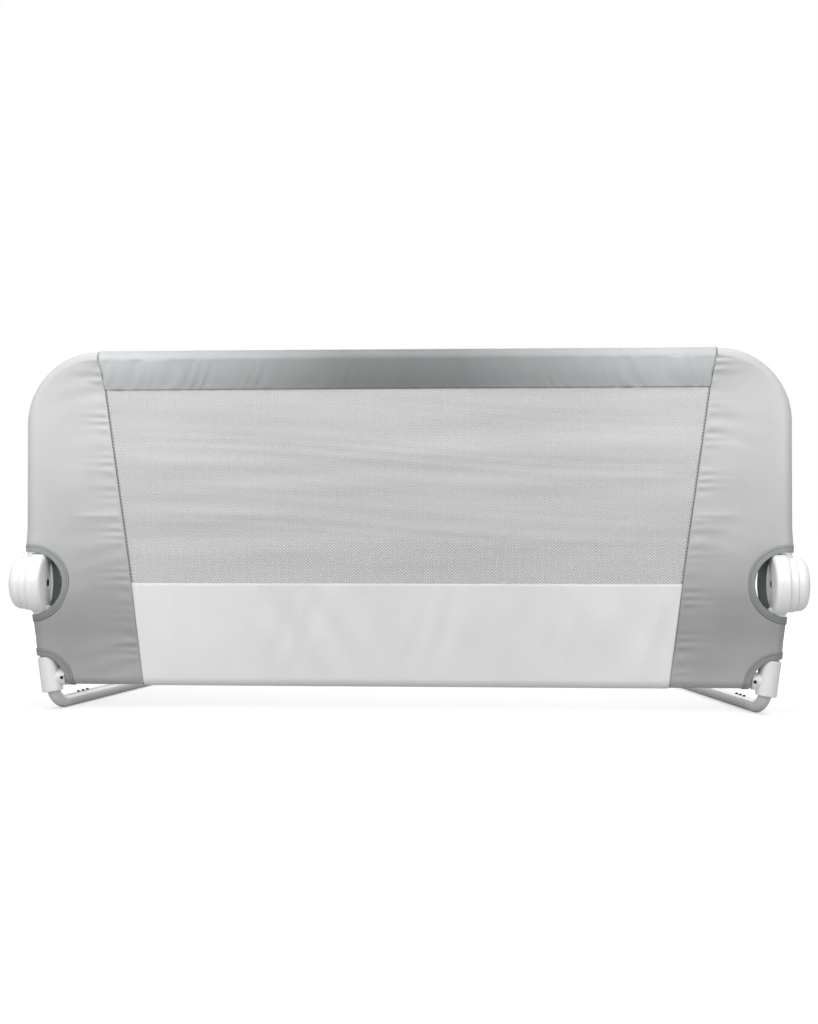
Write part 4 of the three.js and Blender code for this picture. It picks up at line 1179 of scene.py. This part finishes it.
class BEDRAIL_OT_bindings(bpy.types.Operator):
    """Folded tape with two rows of stitches round the hub and corner openings"""

    bl_idname = "bedrail.bindings"
    bl_label = "Bindings"

    def execute(self, context):
        sizes = context.scene.rail_sizes
        paint = finishes(context)
        openings = (
            ("hub", HUB_HOLE, sizes.hub_hole, hub_edges),
            ("corner", CORNER_HOLE, sizes.corner_hole, corner_edges),
        )
        for label, centre, radius, edges in openings:
            grid = binding_loop(centre, radius - BINDING_OVERHANG, radius + sizes.binding, edges)
            ring, normal, lift = binding_tape(grid)
            quads = grid_faces(*ring.shape[:2], close_rows=True, close_columns=True)
            steps = np.linalg.norm(np.diff(ring[:, 0], axis=0, prepend=ring[:1, 0]), axis=1)
            reach = np.linspace(0, 2 * sizes.binding, ring.shape[1])
            uv = np.stack(np.broadcast_arrays(np.cumsum(steps)[:, None], reach[None, :]), -1)
            for made in both_hands(f"{label}_binding", ring, quads, uv):
                finish(made, paint("binding_tape"))
                across_fold(made)
            rows = []
            for column in (round(BINDING_COLUMNS * line) for line in STITCH_LINES):
                line = grid[:, column] + normal[:, column] * lift[column]
                pitch = sizes.stitch * BINDING_PITCH_SHARE
                rows.append(stitched_line(
                    line, normal[:, column], pitch, sizes.stitch, BINDING_STITCH))
            for made in both_hands(f"{label}_stitches", *joined(rows)):
                finish(made, paint("thread"))
                across_fold(made)
        return {"FINISHED"}


class BEDRAIL_OT_straps(bpy.types.Operator):
    """Elastic strap across the back of each hub opening, bowed towards the rail's middle"""

    bl_idname = "bedrail.straps"
    bl_label = "Hub straps"

    def execute(self, context):
        sizes = context.scene.rail_sizes
        half_length = sizes.hub_hole + STRAP_TUCK
        along = np.linspace(-half_length, half_length, STRAP_LENGTH_STEPS)[:, None]
        across = np.linspace(0, STRAP_WIDTH, STRAP_WIDTH_STEPS)[None, :]
        bow = STRAP_BOW * (1 - (along / half_length) ** 2)
        rib = STRAP_RIB * np.sin(np.pi * along / STRAP_RIB_PITCH)
        x = HUB_INNER_X - STRAP_SETBACK - bow + across
        y = FRAME_Y + STRAP_DEPTH + rib
        points = np.stack(np.broadcast_arrays(x, y, HUB_Z + along), -1)
        uv = np.stack(np.broadcast_arrays(across, along), -1)
        quads = grid_faces(*points.shape[:2])
        for made in both_hands("hub_strap", points, quads, uv):
            thickened(made, STRAP_THICKNESS)
            finish(made, finishes(context)("strap_webbing"))
            across_fold(made)
        return {"FINISHED"}


class BEDRAIL_OT_seam_stitches(bpy.types.Operator):
    """Rows of stitches where the bands meet the net"""

    bl_idname = "bedrail.seam_stitches"
    bl_label = "Seam stitches"

    def execute(self, context):
        sizes = context.scene.rail_sizes
        heights = {
            "top_band_stitches": NET_TOP + BAND_STITCH_SETBACK,
            "lower_band_stitches": HUB_Z - BAND_STITCH_SETBACK,
        }
        for name, height in heights.items():
            half = seam_x(height) - BAND_STITCH_END
            x = np.arange(-half, half, sizes.stitch * BAND_PITCH_SHARE)
            rows = []
            for facing in (-1.0, 1.0):
                y = FRAME_Y + facing * (seam_half(height) + BAND_STITCH_LIFT)
                places = np.stack(np.broadcast_arrays(x, y, height), -1)
                along = np.tile([1.0, 0.0, 0.0], (len(x), 1))
                normal = np.tile([0.0, facing, 0.0], (len(x), 1))
                rows.append(stitches(places, along, normal, sizes.stitch, BAND_STITCH))
            made = piece(name, *joined(rows))
            finish(made, finishes(context)("binding_tape"))
            if height > HUB_Z + sizes.fold:
                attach(made, "guard")
            else:
                across_fold(made)
        return {"FINISHED"}


def merged_shells(name, shells, voxel):
    """One moulded body from closed shells that overlap: remeshed together and smoothed."""
    made = piece(name, *joined(shells))
    remesh = made.modifiers.new("remesh", "REMESH")
    remesh.mode = "VOXEL"
    remesh.voxel_size = voxel
    soften = made.modifiers.new("soften", "SMOOTH")
    soften.factor = 0.5
    soften.iterations = SHELL_SMOOTHING
    return settled(made)


def mirrored_piece(made, name):
    """The mirror image of a finished piece."""
    mesh = made.data
    points = np.zeros(len(mesh.vertices) * 3)
    mesh.vertices.foreach_get("co", points)
    faces = [list(face.vertices)[::-1] for face in mesh.polygons]
    return piece(name, points.reshape(-1, 3) * MIRROR, faces)


def neck_bar(start, end):
    """A closed round bar square to the Y axis, its radius a quarter circle at either end."""
    length = np.linalg.norm(end - start)
    quarter = np.linspace(0, math.pi / 2, NECK_EDGE_STEPS)
    low = NECK_EDGE * (1 - np.cos(quarter))
    middle = np.linspace(NECK_EDGE, length - NECK_EDGE, int(length / NECK_STEP))[1:-1]
    reach = np.concatenate([low, middle, length - low[::-1]])
    inset = NECK_EDGE * (1 - np.sin(quarter))
    radii = HUB_NECK_RADIUS - np.concatenate([inset, np.zeros(len(middle)), inset[::-1]])
    direction = unit(end - start)
    normal = unit(np.cross(direction, [0.0, 1.0, 0.0]))
    side = np.cross(direction, normal)
    rings = rings_round(start + direction * reach[:, None], radii, normal, side, NECK_SIDES)
    points, quads, fans = capped(rings)
    return points, np.concatenate([triangles_of(quads), fans])


def hub_shells(profile, neck_start, neck_end, flat_x, clear_radius):
    """A turned disc about the hub's axis and the neck from it to a tube.

    Close to the disc the neck is flattened at flat_x, the plane where the other half turns, and
    its end is pushed out along the disc's radius until it clears the button's well. The inner
    half's flat side is its high one, and it has no well to clear.
    """
    points, quads = turned(profile, HUB_SIDES)
    points = points + np.array([HUB_INNER_X, FRAME_Y, HUB_Z])
    neck, triangles = neck_bar(neck_start, neck_end)
    reach = np.hypot(neck[:, 1] - FRAME_Y, neck[:, 2] - HUB_Z)
    near = np.clip((HUB_RADIUS + NECK_FLAT_REACH - reach) / NECK_FLAT_FADE, 0, 1)
    flatten = np.maximum if clear_radius else np.minimum
    neck[:, 0] += (flatten(neck[:, 0], flat_x) - neck[:, 0]) * near
    push = np.maximum(reach, clear_radius) / np.maximum(reach, TINY)
    neck[:, 1] = FRAME_Y + (neck[:, 1] - FRAME_Y) * push
    neck[:, 2] = HUB_Z + (neck[:, 2] - HUB_Z) * push
    return [(points, triangles_of(quads)), (neck, triangles)]


def inner_hub_profile():
    """Section of a hub's inner half, as (radius, x): rounded face, screw recess and gear pocket."""
    radius, end = HUB_RADIUS, HUB_LOWER_END
    face = rounded_corner(
        (radius - HUB_FACE_FLAT, 0.0), (radius, 0.0), (radius, HUB_FACE_FLAT),
        HUB_FACE_ROUND, steps=11)
    rim = rounded_corner(
        (radius, end - HUB_RIM_EDGE), (radius, end), (radius - HUB_RIM_EDGE, end),
        HUB_RIM_ROUND, steps=7)
    recess = [(HUB_BORE, HUB_POCKET_FLOOR), (HUB_BORE, SCREW_SEAT), (SCREW_RECESS, SCREW_SEAT),
              (SCREW_RECESS, 0.0)]
    pocket = [(HUB_POCKET_RADIUS, end), (HUB_POCKET_RADIUS, HUB_POCKET_FLOOR)]
    return np.concatenate([recess, face, rim, pocket])


def outer_hub_profile():
    """Section of a hub's outer half, as (radius, x): gear pocket, web, and well for the button."""
    start, end, rim, well = HUB_UPPER_START, HUB_UPPER_END, HUB_RIM_RADIUS, HUB_WELL_RADIUS
    web_low, web_high = start + HUB_WEB_START, start + HUB_WEB_END
    pocket = [(HUB_BORE, web_low), (HUB_POCKET_RADIUS, web_low), (HUB_POCKET_RADIUS, start)]
    low_edge = rounded_corner(
        (rim - HUB_RIM_EDGE, start), (rim, start), (rim, end), OUTER_LOW_ROUND, steps=5)
    high_edge = rounded_corner((rim, start), (rim, end), (well, end), OUTER_HIGH_ROUND, steps=7)
    floor = [(well, end), (well, HUB_WELL_FLOOR), (HUB_BOSS_RADIUS, HUB_WELL_FLOOR),
             (HUB_BOSS_RADIUS, web_high), (HUB_BORE, web_high)]
    return np.concatenate([pocket, low_edge, high_edge, floor])


def along_leg(reach):
    """The point on the leg's middle line this far below the hub's axis."""
    return on_leg(HUB_Z - reach * math.cos(LEG_LEAN))


def along_post(reach):
    """The point on the post's middle line this far above the hub's axis."""
    return np.array([POST_X, FRAME_Y, HUB_Z + reach])


class BEDRAIL_OT_hubs(bpy.types.Operator):
    """White plastic halves of both hinge hubs, with their necks"""

    bl_idname = "bedrail.hubs"
    bl_label = "Hinge hubs"

    def execute(self, context):
        halves = (
            ("hub_inner_shell", inner_hub_profile(), along_leg, HUB_LOWER_END, 0.0,
             "lower_frame", "hub_lower_half"),
            ("hub_outer_shell", outer_hub_profile(), along_post, HUB_UPPER_START,
             HUB_WELL_RADIUS + WELL_CLEARANCE, "guard", "hub_upper_half"),
        )
        for name, profile, along, flat_at, clear_radius, body, node in halves:
            ends = along(HUB_RADIUS * NECK_START_SHARE), along(HUB_NECK_REACH)
            shells = hub_shells(profile, *ends, HUB_INNER_X + flat_at, clear_radius)
            right = merged_shells(f"{name}_right", shells, HUB_VOXEL)
            for made in (right, mirrored_piece(right, f"{name}_left")):
                finish(made, finishes(context)("white_plastic"))
                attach(made, body)
                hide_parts(f"{node}_{side_of(made)}")
        return {"FINISHED"}


class BEDRAIL_OT_buttons(bpy.types.Operator):
    """Domed push buttons on the outer face of both hubs"""

    bl_idname = "bedrail.buttons"
    bl_label = "Push buttons"

    def execute(self, context):
        radius, edge = BUTTON_RADIUS, BUTTON_EDGE
        start, end = BUTTON_START, BUTTON_OUTER_X - HUB_INNER_X
        shoulder = end - BUTTON_CROWN - edge
        inside = [(0.0, end - BUTTON_WALL), (radius - edge, end - BUTTON_CROWN - BUTTON_WALL),
                  (radius - BUTTON_WALL, shoulder), (radius - BUTTON_WALL, start)]
        lip = [(radius - BUTTON_LIP, start), (radius, start + BUTTON_LIP)]
        angle = np.linspace(0, math.pi / 2, BUTTON_EDGE_STEPS)
        side = np.stack([radius - edge + edge * np.cos(angle), shoulder + edge * np.sin(angle)], -1)
        dome = np.linspace(radius - edge, 0.0, BUTTON_DOME_STEPS)[1:]
        crown = np.stack([dome, end - BUTTON_CROWN * (dome / (radius - edge)) ** 2], -1)
        profile = np.concatenate([inside, lip, side, crown])
        points, quads = turned(profile, BUTTON_SIDES, closed=False)
        points = points + np.array([HUB_INNER_X, FRAME_Y, HUB_Z])
        for made in both_hands("button_cap", points, quads):
            welded(made)
            finish(made, finishes(context)("white_plastic"))
            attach(made, f"{side_of(made)}_button")
            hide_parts(f"release_button_{side_of(made)}")
        return {"FINISHED"}


class BEDRAIL_OT_sockets(bpy.types.Operator):
    """Corner sockets that hold the legs, the arms and the cross tube"""

    bl_idname = "bedrail.sockets"
    bl_label = "Corner sockets"

    def execute(self, context):
        axis = unit(on_leg(SOCKET_TOP) - on_leg(SOCKET_BOTTOM))
        length = np.linalg.norm(on_leg(SOCKET_TOP - SOCKET_TOP_GAP) - on_leg(SOCKET_BOTTOM))
        radius, flat = SOCKET_RADIUS, SOCKET_RADIUS * SOCKET_FLAT_SHARE
        low_edge = rounded_corner(
            (flat, 0.0), (radius, 0.0), (radius, length), SOCKET_ROUND, steps=5)
        high_edge = rounded_corner(
            (radius, 0.0), (radius, length), (flat, length), SOCKET_ROUND, steps=5)
        inside = [(SOCKET_BORE, length), (SOCKET_BORE, SOCKET_MOUTH_TOP), (SOCKET_MOUTH, 0.0)]
        points, quads = turned(np.concatenate([low_edge, high_edge, inside]), SOCKET_SIDES)
        side = np.array([0.0, 1.0, 0.0])
        basis = np.stack([axis, side, np.cross(axis, side)])
        sleeve_shell = (on_leg(SOCKET_BOTTOM) + points @ basis, triangles_of(quads))
        rim, inner, outer = STUB_RIM_RADIUS, SOCKET_INNER_X, SOCKET_INNER_X + STUB_REACH
        stub = [
            (STUB_CORE, inner + STUB_DISH), (rim - STUB_DISH_EDGE, inner + STUB_DISH),
            (rim - STUB_RIM_EDGE, inner), (rim - STUB_ROUND, inner), (rim, inner + STUB_ROUND),
            (rim, inner + STUB_RIM_LENGTH), (STUB_ROOT_RADIUS, outer), (STUB_CORE, outer),
        ]
        points, quads = turned(stub, STUB_SIDES)
        stub_shell = (points + np.array([0, FRAME_Y, CROSS_Z]), triangles_of(quads))
        right = merged_shells("socket_shell_right", [sleeve_shell, stub_shell], SOCKET_VOXEL)
        for made in (right, mirrored_piece(right, "socket_shell_left")):
            finish(made, finishes(context)("socket_plastic"))
            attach(made, "lower_frame")
            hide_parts(f"corner_socket_{side_of(made)}")
        return {"FINISHED"}


def arm_path():
    """The arm's middle line: down the leg's axis, round the bend and back under the mattress."""
    corner, top = on_leg(ARM_RADIUS), on_leg(ARM_TOP)
    down = unit(corner - top)
    turn = math.acos(float(np.dot(down, ARM_AWAY)))
    setback = ARM_BEND * math.tan(turn / 2)
    start, end = corner - down * setback, corner + ARM_AWAY * setback
    axis = unit(np.cross(down, ARM_AWAY))
    centre = start + np.cross(axis, down) * ARM_BEND
    angle = np.linspace(0, turn, ARM_BEND_STEPS)[:, None]
    radial = start - centre
    bend = centre + radial * np.cos(angle) + np.cross(axis, radial) * np.sin(angle)
    tip = corner + ARM_AWAY * (ARM_LENGTH - FOOT_WALL)
    count = int(np.linalg.norm(tip - end) / ARM_STEP)
    run = end + (tip - end) * np.linspace(0, 1, count)[1:, None]
    lead = top + (start - top) * np.linspace(0, 1, ARM_LEAD_STEPS)[:-1, None]
    return np.concatenate([lead, bend, run])


class BEDRAIL_OT_arms(bpy.types.Operator):
    """Painted steel arms that reach back under the mattress"""

    bl_idname = "bedrail.arms"
    bl_label = "Arms"

    def execute(self, context):
        rings = swept(arm_path(), ARM_RADIUS, ARM_SIDES, first_normal=(0.0, -1.0, 0.0))
        points, quads, fans = capped(rings)
        for made in both_hands("arm_shell", points, quads.tolist() + fans.tolist()):
            finish(made, finishes(context)("tube_paint"))
            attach(made, f"{side_of(made)}_arm")
            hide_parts(f"base_arm_tube_{side_of(made)}")
        return {"FINISHED"}


class BEDRAIL_OT_feet(bpy.types.Operator):
    """Rubber feet over the arms' far ends, flat underneath"""

    bl_idname = "bedrail.feet"
    bl_label = "Arm feet"

    def execute(self, context):
        side, up = np.cross(ARM_AWAY, [0.0, 0.0, 1.0]), np.array([0.0, 0.0, 1.0])
        half = FOOT_WIDTH / 2
        angle = np.linspace(0, 2 * np.pi, FOOT_SIDES, endpoint=False)
        cosine, sine = np.cos(angle), np.sin(angle)
        across = half * np.sign(cosine) * np.abs(cosine) ** FOOT_SIDE_POWER
        upper = ARM_RADIUS + (ARM_RADIUS + FOOT_RISE) * np.abs(sine) ** FOOT_TOP_POWER
        lower = ARM_RADIUS - ARM_RADIUS * np.abs(sine) ** FOOT_BASE_POWER
        height = np.where(sine >= 0, upper, lower)
        quarter = np.linspace(0, math.pi / 2, FOOT_ROUND_STEPS)
        rounding = FOOT_ROUND * (1 - np.cos(quarter))
        reach = np.concatenate([rounding, FOOT_LENGTH - rounding[::-1]])
        inset = FOOT_ROUND * np.concatenate([1 - np.sin(quarter), 1 - np.sin(quarter[::-1])])
        scale = (1 - inset / half)[:, None]
        foot_of_leg = np.array([leg_x(ARM_RADIUS), FRAME_Y, 0.0])
        start = foot_of_leg + ARM_AWAY * (ARM_LENGTH - FOOT_LENGTH)
        rings = (start + ARM_AWAY * reach[:, None])[:, None]
        rings = rings + side * (across * scale)[..., None] + up * (height * scale)[..., None]
        points, quads, fans = capped(rings)
        for made in both_hands("foot_shell", points, quads.tolist() + fans.tolist()):
            finish(made, finishes(context)("foot_rubber"))
            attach(made, f"{side_of(made)}_arm")
            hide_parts(f"arm_foot_{side_of(made)}")
        return {"FINISHED"}


class BEDRAIL_OT_fittings(bpy.types.Operator):
    """Finishes of the tubes, bolts, gears, springs, screws and studs, and a mesh of its own for
    each lock spring
    """

    bl_idname = "bedrail.fittings"
    bl_label = "Tubes and fittings"

    def execute(self, context):
        paint = finishes(context)
        for name, node in frame["nodes"].items():
            if node.hide_render:
                continue
            match = [label for start, label in FITTING_FINISHES.items() if name.startswith(start)]
            if not match:
                raise RuntimeError(f"no finish for {name}")
            node.data.materials.clear()
            node.data.materials.append(paint(match[0]))
        for side in ("right", "left"):
            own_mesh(frame["nodes"][f"lock_spring_{side}"])
        return {"FINISHED"}


def backdrop_world(world):
    """Soft grey light all round, and plain white where the camera sees past the object."""
    world.use_nodes = True
    nodes, links = world.node_tree.nodes, world.node_tree.links
    nodes.clear()
    light, white = nodes.new("ShaderNodeBackground"), nodes.new("ShaderNodeBackground")
    light.inputs["Color"].default_value = (0.985, 0.99, 1.0, 1)
    light.inputs["Strength"].default_value = 0.36
    white.inputs["Color"].default_value = (1, 1, 1, 1)
    rays, mix = nodes.new("ShaderNodeLightPath"), nodes.new("ShaderNodeMixShader")
    seen = rays.outputs["Is Camera Ray"]
    for kind in ("Is Transmission Ray", "Is Glossy Ray"):
        seen = maths(nodes, links, "MAXIMUM", seen, rays.outputs[kind])
    links.new(seen, mix.inputs["Fac"])
    links.new(light.outputs[0], mix.inputs[1])
    links.new(white.outputs[0], mix.inputs[2])
    links.new(mix.outputs[0], nodes.new("ShaderNodeOutputWorld").inputs["Surface"])


def floor_material():
    """Pale floor that reads white to the camera and keeps the object's shadow.

    Only the camera sees its glow, which grows with the distance from the rail's foot.
    """
    made, nodes, links, shader = material("pale_floor", FLOOR_GREY, roughness=0.9)
    place, away = nodes.new("ShaderNodeTexCoord"), nodes.new("ShaderNodeVectorMath")
    away.operation = "LENGTH"
    links.new(place.outputs["Object"], away.inputs[0])
    far = nodes.new("ShaderNodeMapRange")
    for name, value in (("From Min", 0.5), ("From Max", 1.5), ("To Min", 0.52), ("To Max", 0.80)):
        far.inputs[name].default_value = value
    links.new(away.outputs["Value"], far.inputs["Value"])
    rays = nodes.new("ShaderNodeLightPath")
    glow, add = nodes.new("ShaderNodeEmission"), nodes.new("ShaderNodeAddShader")
    strength = maths(nodes, links, "MULTIPLY", rays.outputs["Is Camera Ray"], far.outputs["Result"])
    links.new(strength, glow.inputs["Strength"])
    links.new(shader.outputs[0], add.inputs[0])
    links.new(glow.outputs[0], add.inputs[1])
    links.new(add.outputs[0], nodes["Material Output"].inputs["Surface"])
    return made


def lamp(name, place, aim, energy):
    """A square soft light that points at a place, both given from the rail's foot."""
    data = bpy.data.lights.new(name, "AREA")
    data.shape, data.size, data.energy = "SQUARE", LAMP_SIZE, energy
    made = bpy.data.objects.new(name, data)
    bpy.context.scene.collection.objects.link(made)
    made.location = np.array(place) + np.array([0.0, FRAME_Y, 0.0])
    x, y, z = unit(np.array(aim) - np.array(place))
    made.rotation_euler = (math.acos(-z), 0, math.atan2(y, x) - math.pi / 2)
    return made


class BEDRAIL_OT_stage(bpy.types.Operator):
    """Floor, light and the camera at the photograph's viewing angle"""

    bl_idname = "bedrail.stage"
    bl_label = "Stage"

    def execute(self, context):
        corners = FLOOR_REACH * np.array([[-1.0, -1, 0], [1, -1, 0], [1, 1, 0], [-1, 1, 0]])
        floor = piece("floor", corners, [[0, 1, 2, 3]])
        floor.data.materials.append(floor_material())
        context.scene.world = context.scene.world or bpy.data.worlds.new("world")
        backdrop_world(context.scene.world)
        for name, place, aim, energy in LAMPS:
            lamp(name, place, aim, energy)
        context.scene.view_settings.view_transform = "Standard"

        sizes = context.scene.rail_sizes
        forward = np.array([-math.sin(CAMERA_YAW), math.cos(CAMERA_YAW), 0.0])
        right = np.array([math.cos(CAMERA_YAW), math.sin(CAMERA_YAW), 0.0])
        place = np.array([0.0, FRAME_Y, 0.0]) - forward * sizes.camera_distance
        place = place + right * CAMERA_ASIDE
        data = bpy.data.cameras.new("camera")
        data.sensor_width = CAMERA_SENSOR
        data.lens = CAMERA_FOCAL_SHARE * CAMERA_SENSOR
        camera = bpy.data.objects.new("camera", data)
        context.scene.collection.objects.link(camera)
        camera.location = (place[0], place[1], sizes.camera_height)
        camera.rotation_euler = (math.pi / 2 + CAMERA_PITCH, 0.0, CAMERA_YAW)
        context.scene.camera = camera
        return {"FINISHED"}


class BEDRAIL_PT_panel(bpy.types.Panel):
    """Buttons and settings of the bed guard rail"""

    bl_idname = "BEDRAIL_PT_panel"
    bl_label = "Bed guard rail"
    bl_space_type = "VIEW_3D"
    bl_region_type = "UI"
    bl_category = "Bed Rail"

    def draw(self, context):
        for operator in OPERATORS:
            self.layout.operator(operator.bl_idname)
        for group in (context.scene.rail_sizes, context.scene.rail_colours):
            column = self.layout.column()
            for name in group.__annotations__:
                column.prop(group, name)


OPERATORS = (
    BEDRAIL_OT_stage,
    BEDRAIL_OT_side_covers,
    BEDRAIL_OT_top_band,
    BEDRAIL_OT_lower_band,
    BEDRAIL_OT_net,
    BEDRAIL_OT_piping,
    BEDRAIL_OT_bindings,
    BEDRAIL_OT_straps,
    BEDRAIL_OT_seam_stitches,
    BEDRAIL_OT_hubs,
    BEDRAIL_OT_buttons,
    BEDRAIL_OT_sockets,
    BEDRAIL_OT_arms,
    BEDRAIL_OT_feet,
    BEDRAIL_OT_fittings,
)
CLASSES = (RailSizes, RailColours, *OPERATORS, BEDRAIL_PT_panel)


def register():
    for one in CLASSES:
        bpy.utils.register_class(one)
    bpy.types.Scene.rail_sizes = bpy.props.PointerProperty(type=RailSizes)
    bpy.types.Scene.rail_colours = bpy.props.PointerProperty(type=RailColours)


def unregister():
    del bpy.types.Scene.rail_colours
    del bpy.types.Scene.rail_sizes
    for one in reversed(CLASSES):
        bpy.utils.unregister_class(one)


def main():
    """Builds everything in order."""
    register()
    for operator in OPERATORS:
        group, name = operator.bl_idname.split(".")
        getattr(getattr(bpy.ops, group), name)()


if __name__ == "__main__":
    main()
